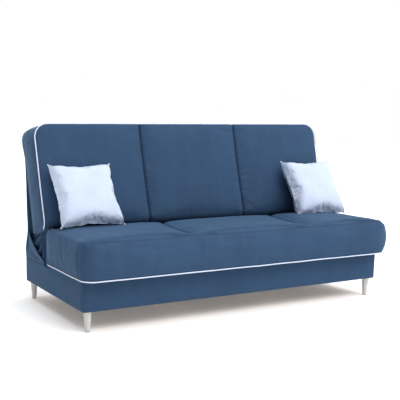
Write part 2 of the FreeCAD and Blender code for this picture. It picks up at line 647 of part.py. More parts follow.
# ---- Linkage ---------------------------------------------------------------------------------
def make_wall_plates():
    """Plates screwed to the side panels, with the lower link pins."""
    front, rear = LOWER_PIVOTS_Y
    plate = strap((front, LOWER_PIVOT_Z), LINK_RADIUS + 3.0, (rear, LOWER_PIVOT_Z), LINK_RADIUS + 3.0,
                  *WALL_PLATE_X)
    plate = holes(plate, rail_screw_places())
    plate = holes(plate, [(y, LOWER_PIVOT_Z) for y in LOWER_PIVOTS_Y], PIN_RADIUS)
    pins = []
    head_x = LINK_X[0] - PIN_HEAD[1]
    for y in LOWER_PIVOTS_Y:
        shank = rod_x(PIN_RADIUS, LINK_X[0], PANEL_INNER, y, LOWER_PIVOT_Z)
        head = rod_x(PIN_HEAD[0], head_x, LINK_X[0], y, LOWER_PIVOT_Z)
        pins += both_sides(shank.fuse(head).removeSplitter())
    screws = []
    for y, z in rail_screw_places():
        shank = rod_x(SCREW_RADIUS, WALL_PLATE_X[0], WALL_PLATE_X[0] + SCREW_LENGTH, y, z)
        screws += both_sides(shank)
    return {
        "wall_plate_left": mirrored(plate),
        "wall_plate_right": plate,
        "wall_plate_screws": group(screws),
        "lower_link_pins": group(pins),
    }


def make_links():
    """The four swing links, leaning rearwards."""
    nodes = {}
    for place, lower_y, upper_y in zip(("front", "rear"), LOWER_PIVOTS_Y, UPPER_PIVOTS_Y):
        ends = [(lower_y, LOWER_PIVOT_Z), (upper_y, UPPER_PIVOT_Z)]
        link = strap(ends[0], LINK_RADIUS, ends[1], LINK_RADIUS, LINK_X[0] + 0.1, LINK_X[1])
        link = holes(link, ends, PIN_RADIUS + RUNNING_GAP)
        nodes[place + "_link_left"] = mirrored(link)
        nodes[place + "_link_right"] = link
    return nodes


def make_carriers():
    """Carrier bars with their uprights, the upper link pins and the crease pins."""
    front, rear = UPPER_PIVOTS_Y
    bar = strap((front, UPPER_PIVOT_Z), BAR_RADIUS, (rear, UPPER_PIVOT_Z), BAR_RADIUS, *CARRIER_X)
    upright = strap((HINGE_Y, HINGE_Z), BOSS_RADIUS, (HINGE_Y, UPPER_PIVOT_Z + UPRIGHT_RADIUS - BAR_RADIUS),
                    UPRIGHT_RADIUS, *CARRIER_X)
    carrier = bar.fuse(upright).removeSplitter()
    carrier = holes(carrier, [(front, UPPER_PIVOT_Z), (rear, UPPER_PIVOT_Z), (HINGE_Y, HINGE_Z)], PIN_RADIUS)
    stud = rod_x(PAWL_STUD_RADIUS, CARRIER_X[1], BACK_PLATE_X[1], HINGE_Y, HINGE_Z - PAWL_PIVOT_BELOW)
    carrier = carrier.fuse(stud)

    link_pins = []
    for y in UPPER_PIVOTS_Y:
        pieces = [rod_x(PIN_HEAD[0], CARRIER_X[0] - PIN_HEAD[1], CARRIER_X[0], y, UPPER_PIVOT_Z),
                  rod_x(PIN_RADIUS, CARRIER_X[0], LINK_X[1], y, UPPER_PIVOT_Z),
                  rod_x(PIN_HEAD[0] - 1.0, CARRIER_X[1], LINK_X[0], y, UPPER_PIVOT_Z)]
        link_pins += both_sides(pieces[0].fuse(pieces[1:]).removeSplitter())
    radius, thick = CREASE_HEAD
    shank = rod_x(PIN_RADIUS, SEAT_PLATE_X[0], BACK_PLATE_X[1], HINGE_Y, HINGE_Z)
    heads = [rod_x(radius, SEAT_PLATE_X[0] - thick, SEAT_PLATE_X[0], HINGE_Y, HINGE_Z),
             rod_x(radius, BACK_PLATE_X[1], BACK_PLATE_X[1] + thick, HINGE_Y, HINGE_Z)]
    crease_pin = shank.fuse(heads).removeSplitter()
    gusset = make_gusset()
    return {
        "carrier_left": mirrored(carrier),
        "carrier_right": carrier,
        "upper_link_pins": group(link_pins),
        "crease_pins": group(both_sides(crease_pin)),
        "gusset_left": mirrored(gusset),
        "gusset_right": gusset,
    }


def make_gusset():
    """Fabric fan that fills the wedge between the two pads at the right-hand end."""
    first = math.radians(-90.0 + GUSSET_MARGIN)
    last = math.radians(-BACK_LEAN - GUSSET_MARGIN)
    middle = (first + last) / 2

    def at(radius, angle):
        return V(0, HINGE_Y + radius * math.cos(angle), HINGE_Z + radius * math.sin(angle))

    inner, outer = GUSSET_RADII
    edges = [
        Part.Arc(at(inner, first), at(inner, middle), at(inner, last)).toShape(),
        Part.makeLine(at(inner, last), at(outer, last)),
        Part.Arc(at(outer, last), at(outer, middle), at(outer, first)).toShape(),
        Part.makeLine(at(outer, first), at(inner, first)),
    ]
    return plate_x(Part.Wire(edges), *GUSSET_X)


def make_pawls():
    """Pawls that ride on the ratchet sectors."""
    pivot = (HINGE_Y, HINGE_Z - PAWL_PIVOT_BELOW)
    tip = (HINGE_Y, HINGE_Z - SECTOR_RADIUS - PAWL_TIP_GAP - PAWL_TIP_RADIUS)
    pawl = strap(pivot, PAWL_RADIUS, tip, PAWL_TIP_RADIUS, BACK_PLATE_X[0], BACK_PLATE_X[1])
    pawl = holes(pawl, [pivot], PAWL_STUD_RADIUS + RUNNING_GAP)
    return {"pawl_left": mirrored(pawl), "pawl_right": pawl}


# ---- Cushions --------------------------------------------------------------------------------
def square_wire(side, z):
    """Square outline of a cushion at one height."""
    h = side / 2
    return Part.makePolygon([V(-h, -h, z), V(h, -h, z), V(h, h, z), V(-h, h, z), V(-h, -h, z)])


def make_pillows():
    """Two loose cushions that lean on the back with their lower seams on the seat."""
    layers = [(share, depth * PILLOW_THICKNESS / 2) for share, depth in PILLOW_LAYERS]
    wires = [square_wire(PILLOW_SIDE * share, z) for share, z in layers]
    lean = math.radians(PILLOW_LEAN)
    back = math.radians(BACK_LEAN)
    middle_z = SEAT_TOP + PILLOW_ABOVE_SEAT + PILLOW_SIDE / 2 * math.cos(lean)
    face_y = HINGE_Y - HINGE_DEPTH * math.cos(back)
    face_z = HINGE_Z + HINGE_DEPTH * math.sin(back)
    gaps = []
    for share, depth in layers[:3]:
        up = PILLOW_SIDE / 2 * share
        y = up * math.sin(lean) - depth * math.cos(lean)
        z = middle_z + up * math.cos(lean) + depth * math.sin(lean)
        gaps.append(face_y + (z - face_z) * math.tan(back) - y)
    middle_y = min(gaps) - PILLOW_BEFORE_BACK
    nodes = {}
    for name, x in PILLOW_CENTRES.items():
        cushion = Part.makeLoft(wires, True, True)
        cushion.rotate(ORIGIN, ALONG_X, 90.0 - PILLOW_LEAN)
        nodes[name] = cushion.translated(V(x, middle_y, middle_z))
    return nodes


# ---- Assembly --------------------------------------------------------------------------------
def make_all():
    """Every node, with the origin under the middle of the whole object."""
    nodes = {}
    for maker in (make_box, make_legs, make_wall_plates, make_links, make_carriers, make_pawls,
                  make_seat, make_back, make_pillows):
        nodes.update(maker())
    whole = FreeCAD.BoundBox()
    for shape in nodes.values():
        whole.add(shape.optimalBoundingBox())
    shift = V(-whole.Center.x, -whole.Center.y, -whole.ZMin)
    return {name: shape.translated(shift) for name, shape in nodes.items()}, shift


def main():
    """Write one STEP file for each node."""
    os.makedirs("parts", exist_ok=True)
    nodes, shift = make_all()
    for name, shape in nodes.items():
        shape.exportStep("parts/%s.step" % name)
    print("%d nodes, moved by %.4f, %.4f, %.4f" % (len(nodes), shift.x, shift.y, shift.z))


if __name__ == "__main__":
    main()
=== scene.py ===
"""Click-clack sofa bed: upholstery, trim, finishes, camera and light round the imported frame.

Every length is in metres in the row frame: +X along the sofa, +Y from front to rear, +Z up.
"""

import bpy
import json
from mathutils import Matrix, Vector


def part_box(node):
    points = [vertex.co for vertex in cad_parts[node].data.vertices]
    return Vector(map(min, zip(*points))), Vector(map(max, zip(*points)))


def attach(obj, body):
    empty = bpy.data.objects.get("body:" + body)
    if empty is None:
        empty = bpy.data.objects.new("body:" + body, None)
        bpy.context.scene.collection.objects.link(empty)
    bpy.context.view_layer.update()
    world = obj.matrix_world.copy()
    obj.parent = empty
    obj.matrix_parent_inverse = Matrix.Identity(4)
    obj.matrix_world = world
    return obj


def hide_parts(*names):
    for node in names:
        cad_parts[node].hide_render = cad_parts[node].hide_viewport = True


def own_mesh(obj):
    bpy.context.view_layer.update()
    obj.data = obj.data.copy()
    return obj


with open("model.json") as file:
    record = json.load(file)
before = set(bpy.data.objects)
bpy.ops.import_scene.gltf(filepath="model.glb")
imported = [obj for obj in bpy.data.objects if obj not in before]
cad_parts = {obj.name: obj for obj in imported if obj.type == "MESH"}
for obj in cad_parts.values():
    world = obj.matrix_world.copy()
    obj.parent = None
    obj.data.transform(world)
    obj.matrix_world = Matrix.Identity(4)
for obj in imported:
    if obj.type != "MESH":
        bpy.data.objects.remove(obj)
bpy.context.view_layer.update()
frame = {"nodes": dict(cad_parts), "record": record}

import json
import logging
import math
from dataclasses import dataclass, field
from enum import Enum

import bmesh
import bpy
import numpy as np
from mathutils import Vector, noise
from mathutils.bvhtree import BVHTree

log = logging.getLogger("sofa")
Colour = tuple[float, float, float]
SIDES = ((-1, "left"), (1, "right"))


# ---- Meshes ----------------------------------------------------------------------------------
def make_object(name: str, points: np.ndarray, faces: list,
                edges: list | None = None) -> bpy.types.Object:
    """A new mesh object at the origin, with outward normals and smooth faces.

    Args:
        name: The piece's name.
        points: One row per vertex, in the row frame.
        faces: Vertex indices of each face.
        edges: Loose edges, for a path.

    Returns:
        The object, linked to the scene.
    """
    mesh = bpy.data.meshes.new(name)
    mesh.from_pydata([tuple(p) for p in points], edges or [], faces)
    if faces:
        shell = bmesh.new()
        shell.from_mesh(mesh)
        bmesh.ops.recalc_face_normals(shell, faces=shell.faces)
        shell.to_mesh(mesh)
        shell.free()
    mesh.polygons.foreach_set("use_smooth", [True] * len(mesh.polygons))
    made = bpy.data.objects.new(name, mesh)
    bpy.context.scene.collection.objects.link(made)
    return made


def bake(piece: bpy.types.Object) -> bpy.types.Object:
    """Turns a piece's modifiers into plain mesh.

    Args:
        piece: A mesh object with modifiers.

    Returns:
        The same object, with no modifiers.
    """
    graph = bpy.context.evaluated_depsgraph_get()
    graph.update()
    mesh = bpy.data.meshes.new_from_object(
        piece.evaluated_get(graph), preserve_all_data_layers=True, depsgraph=graph)
    piece.modifiers.clear()
    piece.data = mesh
    return piece


def read_rows(mesh: bpy.types.Mesh, field_name: str) -> np.ndarray:
    """One vector per vertex of a mesh.

    Args:
        mesh: The mesh.
        field_name: "co" or "normal".

    Returns:
        One row per vertex.
    """
    flat = np.empty(len(mesh.vertices) * 3)
    mesh.vertices.foreach_get(field_name, flat)
    return flat.reshape(-1, 3)


def points_of(mesh: bpy.types.Mesh) -> np.ndarray:
    """The vertices of a mesh."""
    return read_rows(mesh, "co")


def normals_of(mesh: bpy.types.Mesh) -> np.ndarray:
    """The vertex normals of a mesh."""
    return read_rows(mesh, "normal")


def set_points(mesh: bpy.types.Mesh, points: np.ndarray) -> None:
    """Moves every vertex of a mesh."""
    mesh.vertices.foreach_set("co", points.ravel())
    mesh.update()


def mark(piece: bpy.types.Object, name: str, values: np.ndarray) -> None:
    """Stores one number per vertex, for the materials to read."""
    layer = piece.data.attributes.get(name) or piece.data.attributes.new(name, "FLOAT", "POINT")
    layer.data.foreach_set("value", values.astype(np.float32))


def noise_at(points: np.ndarray, scale: float, seed: float = 0.0) -> np.ndarray:
    """Smooth noise between about -1 and 1 at each point.

    Args:
        points: One row per point.
        scale: How many waves to the metre.
        seed: Shifts the pattern.

    Returns:
        One value per point.
    """
    shift = Vector((seed * 7.3, seed * 3.1, seed * 5.7))
    return np.array([noise.noise(Vector(p) * scale + shift) for p in points])


def smooth(edge0: float, edge1: float, value: np.ndarray) -> np.ndarray:
    """Soft step from 0 at edge0 to 1 at edge1."""
    t = np.clip((value - edge0) / (edge1 - edge0), 0.0, 1.0)
    return t * t * (3.0 - 2.0 * t)


def box_grid(cells: tuple[int, int, int]) -> tuple[np.ndarray, list]:
    """Closed grid over the six sides of a unit box.

    Args:
        cells: Number of cells along each side.

    Returns:
        Points from 0 to 1 on each axis, and the faces.
    """
    index: dict[tuple[int, int, int], int] = {}
    points: list[tuple[float, float, float]] = []
    faces: list[tuple[int, ...]] = []

    def at(ijk: tuple[int, int, int]) -> int:
        if ijk not in index:
            index[ijk] = len(points)
            points.append(tuple(c / n for c, n in zip(ijk, cells)))
        return index[ijk]

    for axis in range(3):
        u, v = (axis + 1) % 3, (axis + 2) % 3
        for level in (0, cells[axis]):
            for a in range(cells[u]):
                for b in range(cells[v]):
                    ring = []
                    for da, db in ((0, 0), (1, 0), (1, 1), (0, 1)):
                        ijk = [0, 0, 0]
                        ijk[axis], ijk[u], ijk[v] = level, a + da, b + db
                        ring.append(at(tuple(ijk)))
                    faces.append(tuple(ring if level else ring[::-1]))
    return np.array(points), faces


def round_edge(u: np.ndarray, v: np.ndarray, u_face: float, v_face: float, radius: float | np.ndarray,
               u_sign: float = 1.0, v_sign: float = 1.0) -> tuple[np.ndarray, np.ndarray]:
    """Rounds the edge between two faces of a box.

    Args:
        u: First coordinate of each point.
        v: Second coordinate of each point.
        u_face: Where u_sign * u meets its face.
        v_face: Where v_sign * v meets its face.
        radius: Of the edge.
        u_sign: -1 for the face on the low side of u.
        v_sign: -1 for the face on the low side of v.

    Returns:
        Both coordinates, with the points near the edge moved on to the curve.
    """
    a, b = u_sign * u - (u_face - radius), v_sign * v - (v_face - radius)
    hit = (a > 0) & (b > 0)
    k = np.where(hit, np.maximum(a, b) / np.maximum(np.hypot(a, b), 1e-9), 1.0)
    return (np.where(hit, u_sign * (u_face - radius + a * k), u),
            np.where(hit, v_sign * (v_face - radius + b * k), v))


def grid_sheet(name: str, rows: np.ndarray, thickness: float) -> bpy.types.Object:
    """A sheet of cloth through a grid of points, with real thickness.

    Args:
        name: The piece's name.
        rows: Array of points, rows x columns x 3.
        thickness: Of the cloth.

    Returns:
        The closed mesh object.
    """
    n, m = rows.shape[:2]
    faces = [(i * m + j, i * m + j + 1, (i + 1) * m + j + 1, (i + 1) * m + j)
             for i in range(n - 1) for j in range(m - 1)]
    sheet = make_object(name, rows.reshape(-1, 3), faces)
    solid = sheet.modifiers.new("Cloth thickness", "SOLIDIFY")
    solid.thickness, solid.offset = thickness, 0.0
    return bake(sheet)


def puff(piece: bpy.types.Object, pins: np.ndarray, pressure: float, frames: int, cap: np.ndarray | float,
         grow: float, stiff: float = 15.0, bend: float = 0.6) -> None:
    """Fills a closed skin with air by cloth simulation and keeps the result.

    Args:
        piece: Closed mesh object.
        pins: Hold on each vertex, 0 to 1.
        pressure: Air pressure inside.
        frames: How long it runs.
        cap: The furthest that a vertex may move.
        grow: How much wider the cloth is cut than its rest shape.
        stiff: Stretch stiffness.
        bend: Bending stiffness.
    """
    group = piece.vertex_groups.new(name="Held")
    for weight in np.unique(np.round(pins, 1)):
        if weight > 0:
            group.add(np.flatnonzero(np.round(pins, 1) == weight).tolist(), float(weight), "REPLACE")
    cloth = piece.modifiers.new("Cloth", "CLOTH")
    given = cloth.settings
    given.quality = 5
    given.mass = 0.3
    given.tension_stiffness = given.compression_stiffness = stiff
    given.shear_stiffness = stiff * 0.4
    given.bending_stiffness = bend
    given.vertex_group_mass = "Held"
    given.shrink_min = -grow
    given.use_pressure = True
    given.uniform_pressure_force = pressure
    given.effector_weights.gravity = 0.0
    cloth.collision_settings.use_collision = False
    cloth.point_cache.frame_start, cloth.point_cache.frame_end = 1, frames
    start = points_of(piece.data)
    scene = bpy.context.scene
    for step in range(1, frames + 1):
        scene.frame_set(step)
    graph = bpy.context.evaluated_depsgraph_get()
    moved = points_of(piece.evaluated_get(graph).data)
    piece.modifiers.clear()
    piece.vertex_groups.clear()
    shift = moved - start
    far = np.linalg.norm(shift, axis=1)
    cap = np.broadcast_to(np.asarray(cap, float), far.shape)
    soft = cap * np.tanh(far / np.maximum(cap, 1e-6))
    set_points(piece.data, start + shift * (soft / np.maximum(far, 1e-9))[:, None])
    scene.frame_set(1)


def refine(piece: bpy.types.Object) -> None:
    """Subdivides a piece once and keeps the result.

    Args:
        piece: A mesh object.
    """
    finer = piece.modifiers.new("Finer", "SUBSURF")
    finer.levels = finer.render_levels = 1
    bake(piece)


# ---- Node trees ------------------------------------------------------------------------------
class Nodes:
    """Short way to add and join nodes in one tree."""

    def __init__(self, tree: bpy.types.NodeTree) -> None:
        """Starts with an empty tree."""
        self.tree = tree
        tree.nodes.clear()

    def add(self, kind: str, inputs: dict | None = None, **settings: object) -> bpy.types.Node:
        """Adds a node.

        Args:
            kind: The node's type.
            inputs: Socket names or numbers with their values or the sockets that feed them.
            **settings: The node's own properties.

        Returns:
            The node.
        """
        node = self.tree.nodes.new(kind)
        for key, value in settings.items():
            setattr(node, key, value)
        for key, value in (inputs or {}).items():
            socket = node.inputs[key]
            if isinstance(value, bpy.types.NodeSocket):
                self.link(value, socket)
            else:
                socket.default_value = value
        return node

    def link(self, value: bpy.types.NodeSocket, socket: bpy.types.NodeSocket) -> None:
        """Joins two sockets."""
        self.tree.links.new(value, socket)

    def math(self, operation: str, *values: object) -> bpy.types.NodeSocket:
        """A Math node's result."""
        return self.add("ShaderNodeMath", dict(enumerate(values)), operation=operation).outputs[0]

    def mix(self, factor: object, a: object, b: object) -> bpy.types.NodeSocket:
        """A mixed colour."""
        return self.add("ShaderNodeMix", {0: factor, 6: a, 7: b}, data_type="RGBA").outputs[2]

    def tint(self, mask: bpy.types.NodeSocket, share: float, a: object, b: object) -> bpy.types.NodeSocket:
        """Colour a, turned to b by a share of a mask."""
        return self.mix(self.math("MULTIPLY", mask, share), a, b)

    def total(self, *terms: tuple[object, object]) -> bpy.types.NodeSocket:
        """Adds weighted values.

        Args:
            *terms: Pairs of a value and its weight.

        Returns:
            Their sum.
        """
        parts = [self.math("MULTIPLY", value, weight) for value, weight in terms]
        while len(parts) > 1:
            parts = [self.math("ADD", parts[0], parts[1]), *parts[2:]]
        return parts[0]

    def ramp(self, factor: bpy.types.NodeSocket, low: float, high: float) -> bpy.types.NodeSocket:
        """A value stretched so that low gives 0 and high gives 1."""
        return self.add("ShaderNodeMapRange", {0: factor, 1: low, 2: high}).outputs[0]

    def noise(self, where: bpy.types.NodeSocket, scale: object, detail: float = 2.0) -> bpy.types.NodeSocket:
        """Noise texture's value."""
        return self.add("ShaderNodeTexNoise", {"Vector": where, "Scale": scale, "Detail": detail}).outputs[0]


def colour(rgb: Colour) -> tuple[float, float, float, float]:
    """A colour with full alpha."""
    return (*rgb, 1.0)


def shader_group(name: str, inputs: dict[str, float | Colour],
                 outputs: str) -> tuple[Nodes, bpy.types.NodeOutputs, bpy.types.NodeInputs]:
    """An empty shader group with named sockets.

    Args:
        name: The group's name.
        inputs: Names with their usual values; a colour has three numbers.
        outputs: Names of the results, parted by spaces.

    Returns:
        The tree's helper, the sockets it is given and the sockets of its results.
    """
    tree = bpy.data.node_groups.new(name, "ShaderNodeTree")
    tree.interface.new_socket("Where", in_out="INPUT", socket_type="NodeSocketVector")
    for key, value in inputs.items():
        wide = isinstance(value, tuple)
        kind = "NodeSocketColor" if wide else "NodeSocketFloat"
        socket = tree.interface.new_socket(key, in_out="INPUT", socket_type=kind)
        socket.default_value = colour(value) if wide else value
    for key in outputs.split():
        kind = "NodeSocketColor" if key == "Color" else "NodeSocketFloat"
        tree.interface.new_socket(key, in_out="OUTPUT", socket_type=kind)
    helper = Nodes(tree)
    return helper, helper.add("NodeGroupInput").outputs, helper.add("NodeGroupOutput").inputs


def pile_group() -> None:
    """Short pile of velvet: stroked patches, cloudy tone, fine fibres and painted shade in the seam grooves."""
    n, given, result = shader_group("Pile", {
        "Base": (0.05, 0.1, 0.2), "Stroked": (0.08, 0.15, 0.27), "Shaded": (0.03, 0.06, 0.12),
        "Patch scale": 3.0, "Fibre scale": 900.0, "Seam": 0.0}, "Color Height Roughness")
    where = given["Where"]
    cloud = n.ramp(n.noise(where, given["Patch scale"], 3.0), 0.38, 0.66)
    stretched = n.add("ShaderNodeMapping", {"Vector": where, "Scale": (22.0, 5.0, 5.0)}).outputs[0]
    stroke = n.ramp(n.noise(stretched, 1.0, 2.0), 0.45, 0.75)
    fibre = n.noise(where, given["Fibre scale"], 2.0)
    speck = n.noise(where, n.math("MULTIPLY", given["Fibre scale"], 0.3), 1.0)
    body = n.tint(cloud, 0.45, given["Base"], given["Stroked"])
    body = n.tint(stroke, 0.3, body, given["Stroked"])
    body = n.tint(n.ramp(speck, 0.35, 0.7), 0.22, body, given["Shaded"])
    # Painted shade: the seam mask turns the colour towards the dark Shaded colour along the pressed grooves.
    n.link(n.tint(given["Seam"], 0.85, body, given["Shaded"]), result["Color"])
    n.link(n.total((fibre, 1.0), (speck, 0.8)), result["Height"])
    n.link(n.math("ADD", 0.78, n.math("MULTIPLY", cloud, 0.14)), result["Roughness"])


def weave_group() -> None:
    """Plain weave of crossing threads."""
    n, given, result = shader_group("Weave", {
        "Thread": (0.6, 0.65, 0.75), "Gap": (0.4, 0.45, 0.55), "Threads": 900.0, "Slub": 0.3}, "Color Height")
    axes = n.add("ShaderNodeSeparateXYZ", {0: given["Where"]})
    waves = [n.math("SINE", n.math("MULTIPLY", axes.outputs[i], given["Threads"])) for i in range(3)]
    cross = n.total((waves[0], waves[1]), (waves[2], n.math("SUBTRACT", waves[0], waves[1])))
    height = n.ramp(cross, -1.2, 1.2)
    slub = n.ramp(n.noise(given["Where"], 60.0, 3.0), 0.4, 0.7)
    n.link(n.mix(n.total((height, 0.7), (slub, given["Slub"])), given["Gap"], given["Thread"]), result["Color"])
    n.link(height, result["Height"])


def grain_group() -> None:
    """Sawn timber or pressed board: long grain, pores and flecks."""
    n, given, result = shader_group("Grain", {
        "Early": (0.6, 0.42, 0.24), "Late": (0.42, 0.26, 0.13), "Ring scale": 9.0, "Stretch": 14.0,
        "Flecks": 0.3}, "Color Height")
    where, stretch = given["Where"], given["Stretch"]
    turned = n.add("ShaderNodeCombineXYZ", {0: 1.0, 1: stretch, 2: stretch}).outputs[0]
    long = n.add("ShaderNodeVectorMath", {0: where, 1: turned}, operation="MULTIPLY").outputs[0]
    ring = n.ramp(n.noise(long, given["Ring scale"], 4.0), 0.35, 0.68)
    chips = n.add("ShaderNodeTexVoronoi", {"Vector": where, "Scale": 240.0}).outputs["Distance"]
    fleck = n.ramp(chips, 0.2, 0.7)
    n.link(n.mix(n.total((ring, 0.8), (fleck, given["Flecks"])), given["Early"], given["Late"]), result["Color"])
    n.link(n.total((ring, 1.0), (fleck, given["Flecks"])), result["Height"])


def wear_group() -> None:
    """Handled metal or plastic: brush lines, scuffs and dust."""
    n, given, result = shader_group("Wear", {
        "Clean": (0.6, 0.6, 0.6), "Scuffed": (0.4, 0.4, 0.4), "Scuff scale": 40.0, "Brush": 0.5,
        "Smoothness": 0.35}, "Color Height Roughness")
    where = given["Where"]
    long = n.add("ShaderNodeMapping", {"Vector": where, "Scale": (1.0, 1.0, 0.04)}).outputs[0]
    lines = n.noise(long, 1400.0, 2.0)
    scuff = n.ramp(n.noise(where, given["Scuff scale"], 5.0), 0.55, 0.75)
    dust = n.ramp(n.noise(where, 7.0, 4.0), 0.4, 0.8)
    body = n.tint(scuff, 0.5, given["Clean"], given["Scuffed"])
    n.link(n.tint(dust, 0.12, body, given["Scuffed"]), result["Color"])
    n.link(n.total((lines, given["Brush"]), (scuff, -0.4)), result["Height"])
    n.link(n.total((given["Smoothness"], 1.0), (scuff, 0.2), (dust, 0.08)), result["Roughness"])


class Pattern(Enum):
    """Which group gives a finish its surface."""
    PILE = "Pile"
    WEAVE = "Weave"
    GRAIN = "Grain"
    WEAR = "Wear"


@dataclass(frozen=True)
class Finish:
    """One material: a pattern group with its own values, on one shader."""
    name: str
    pattern: Pattern
    values: dict[str, float | Colour]
    roughness: float = 0.6
    metallic: float = 0.0
    bump: float = 0.0003
    sheen: float = 0.0
    sheen_tint: Colour = (1.0, 1.0, 1.0)
    sheen_roughness: float = 0.4
    coat: float = 0.0
    specular: float = 0.5

    def build(self) -> bpy.types.Material:
        """Makes the material.

        Returns:
            The new material.
        """
        made = bpy.data.materials.new(self.name)
        made.use_nodes = True
        n = Nodes(made.node_tree)
        out = n.add("ShaderNodeOutputMaterial")
        shader = n.add("ShaderNodeBsdfPrincipled", {
            "Roughness": self.roughness, "Metallic": self.metallic, "Sheen Weight": self.sheen,
            "Sheen Roughness": self.sheen_roughness, "Sheen Tint": colour(self.sheen_tint), "Coat Weight": self.coat,
            "Specular IOR Level": self.specular})
        group = n.add("ShaderNodeGroup", node_tree=bpy.data.node_groups[self.pattern.value])
        n.link(n.add("ShaderNodeTexCoord").outputs["Object"], group.inputs["Where"])
        for key, value in self.values.items():
            group.inputs[key].default_value = colour(value) if isinstance(value, tuple) else value
        if self.pattern is Pattern.PILE:
            # The seam attribute carries painted shade for the grooves and seam lines of the velvet.
            seam = n.add("ShaderNodeAttribute", attribute_name="seam").outputs["Fac"]
            n.link(seam, group.inputs["Seam"])
        n.link(group.outputs["Color"], shader.inputs["Base Color"])
        if "Roughness" in group.outputs:
            n.link(group.outputs["Roughness"], shader.inputs["Roughness"])
        bump = n.add("ShaderNodeBump", {"Height": group.outputs["Height"], "Distance": self.bump, "Strength": 0.6})
        n.link(bump.outputs[0], shader.inputs["Normal"])
        n.link(shader.outputs[0], out.inputs[0])
        return made


FINISHES: dict[str, Finish] = {
    "velvet_blue": Finish("Blue velvet", Pattern.PILE, {
        "Base": (0.027, 0.058, 0.116), "Stroked": (0.040, 0.083, 0.158), "Shaded": (0.009, 0.018, 0.038)},
        bump=0.0006, sheen=0.5, sheen_tint=(0.25, 0.45, 0.68), sheen_roughness=0.32, specular=0.12),
    "velvet_pale": Finish("Pale cushion velvet", Pattern.PILE, {
        "Base": (0.475, 0.54, 0.665), "Stroked": (0.55, 0.62, 0.76), "Shaded": (0.31, 0.37, 0.53),
        "Patch scale": 9.0},
        bump=0.0006, sheen=0.35, sheen_tint=(0.80, 0.90, 1.0), specular=0.2),
    "piping_pale": Finish("Piping satin", Pattern.WEAVE, {
        "Thread": (0.70, 0.75, 0.86), "Gap": (0.52, 0.57, 0.70), "Threads": 2600.0}, roughness=0.5, sheen=0.3),
    # The gusset is the blue velvet made darker: painted shade for the deep wedge between the pads.
    "gusset_velvet_shaded": Finish("Gusset velvet in painted shade", Pattern.PILE, {
        "Base": (0.013, 0.030, 0.066), "Stroked": (0.020, 0.046, 0.096), "Shaded": (0.004, 0.009, 0.022)},
        bump=0.0005, sheen=0.3, sheen_tint=(0.15, 0.40, 0.70), specular=0.12),
    "foam": Finish("Foam", Pattern.WEAR, {
        "Clean": (0.80, 0.74, 0.56), "Scuffed": (0.66, 0.58, 0.40), "Smoothness": 0.9}),
    "felt": Finish("Felt", Pattern.WEAVE, {"Thread": (0.24, 0.23, 0.21), "Gap": (0.11, 0.10, 0.10)}, roughness=0.95),
    "dust_cloth": Finish("Dust cloth", Pattern.WEAVE, {
        "Thread": (0.016, 0.016, 0.018), "Gap": (0.004, 0.004, 0.005), "Threads": 1500.0}, roughness=0.85),
    "pine": Finish("Pine", Pattern.GRAIN, {
        "Early": (0.62, 0.44, 0.24), "Late": (0.42, 0.25, 0.11), "Flecks": 0.05}, roughness=0.65),
    "chipboard": Finish("Chipboard", Pattern.GRAIN, {
        "Early": (0.44, 0.32, 0.18), "Late": (0.26, 0.17, 0.09), "Ring scale": 60.0, "Stretch": 1.5,
        "Flecks": 0.7}, roughness=0.8),
    "hardboard": Finish("Hardboard", Pattern.GRAIN, {
        "Early": (0.11, 0.068, 0.042), "Late": (0.075, 0.045, 0.028), "Ring scale": 120.0, "Stretch": 1.0,
        "Flecks": 0.3}, roughness=0.5),
    "zinc_steel": Finish("Zinc plate", Pattern.WEAR, {
        "Clean": (0.62, 0.63, 0.65), "Scuffed": (0.42, 0.42, 0.44), "Smoothness": 0.3}, metallic=1.0, bump=0.0001),
    "black_steel": Finish("Black enamel", Pattern.WEAR, {
        "Clean": (0.012, 0.012, 0.014), "Scuffed": (0.05, 0.05, 0.052), "Smoothness": 0.4, "Brush": 0.1},
        coat=0.3, bump=0.0001),
    "spring_steel": Finish("Spring steel", Pattern.WEAR, {
        "Clean": (0.26, 0.27, 0.29), "Scuffed": (0.15, 0.14, 0.13), "Smoothness": 0.35}, metallic=1.0, bump=0.0001),
    "leg_silver": Finish("Silver lacquer", Pattern.WEAR, {
        "Clean": (0.52, 0.52, 0.51), "Scuffed": (0.40, 0.40, 0.39), "Smoothness": 0.42, "Brush": 0.25},
        bump=0.0001, coat=0.2),
    "glide_plastic": Finish("Glide plastic", Pattern.WEAR, {
        "Clean": (0.02, 0.02, 0.02), "Scuffed": (0.05, 0.05, 0.05), "Smoothness": 0.55}, bump=0.0001),
}


class Wardrobe:
    """Builds each material once and dresses pieces with them."""

    def __init__(self) -> None:
        """Makes the pattern groups and every finish."""
        for maker in (pile_group, weave_group, grain_group, wear_group):
            maker()
        self.made = {key: finish.build() for key, finish in FINISHES.items()}

    def dress(self, piece: bpy.types.Object, key: str, slot: str | None = None) -> None:
        """Gives a piece one finish.

        Args:
            piece: A mesh object.
            key: The finish.
            slot: Not used; the record's material slot, if it isn't the finish's own name.
        """
        piece.data.materials.clear()
        piece.data.materials.append(self.made[key])
        piece.data.polygons.foreach_set("material_index", [0] * len(piece.data.polygons))

    def dress_frame(self) -> None:
        """Gives every CAD node the finish of its record slot."""
        for part in frame["record"]["subparts"]:
            node = frame["nodes"][part["node"]]
            for holder in node.material_slots:
                holder.material = self.made[part["material_slot"]]


# ---- Geometry trees --------------------------------------------------------------------------
class Trim(Enum):
    """The repeated or path-following trims."""
    CORD = "Cord along a seam"
    STITCH = "Stitches along a seam"


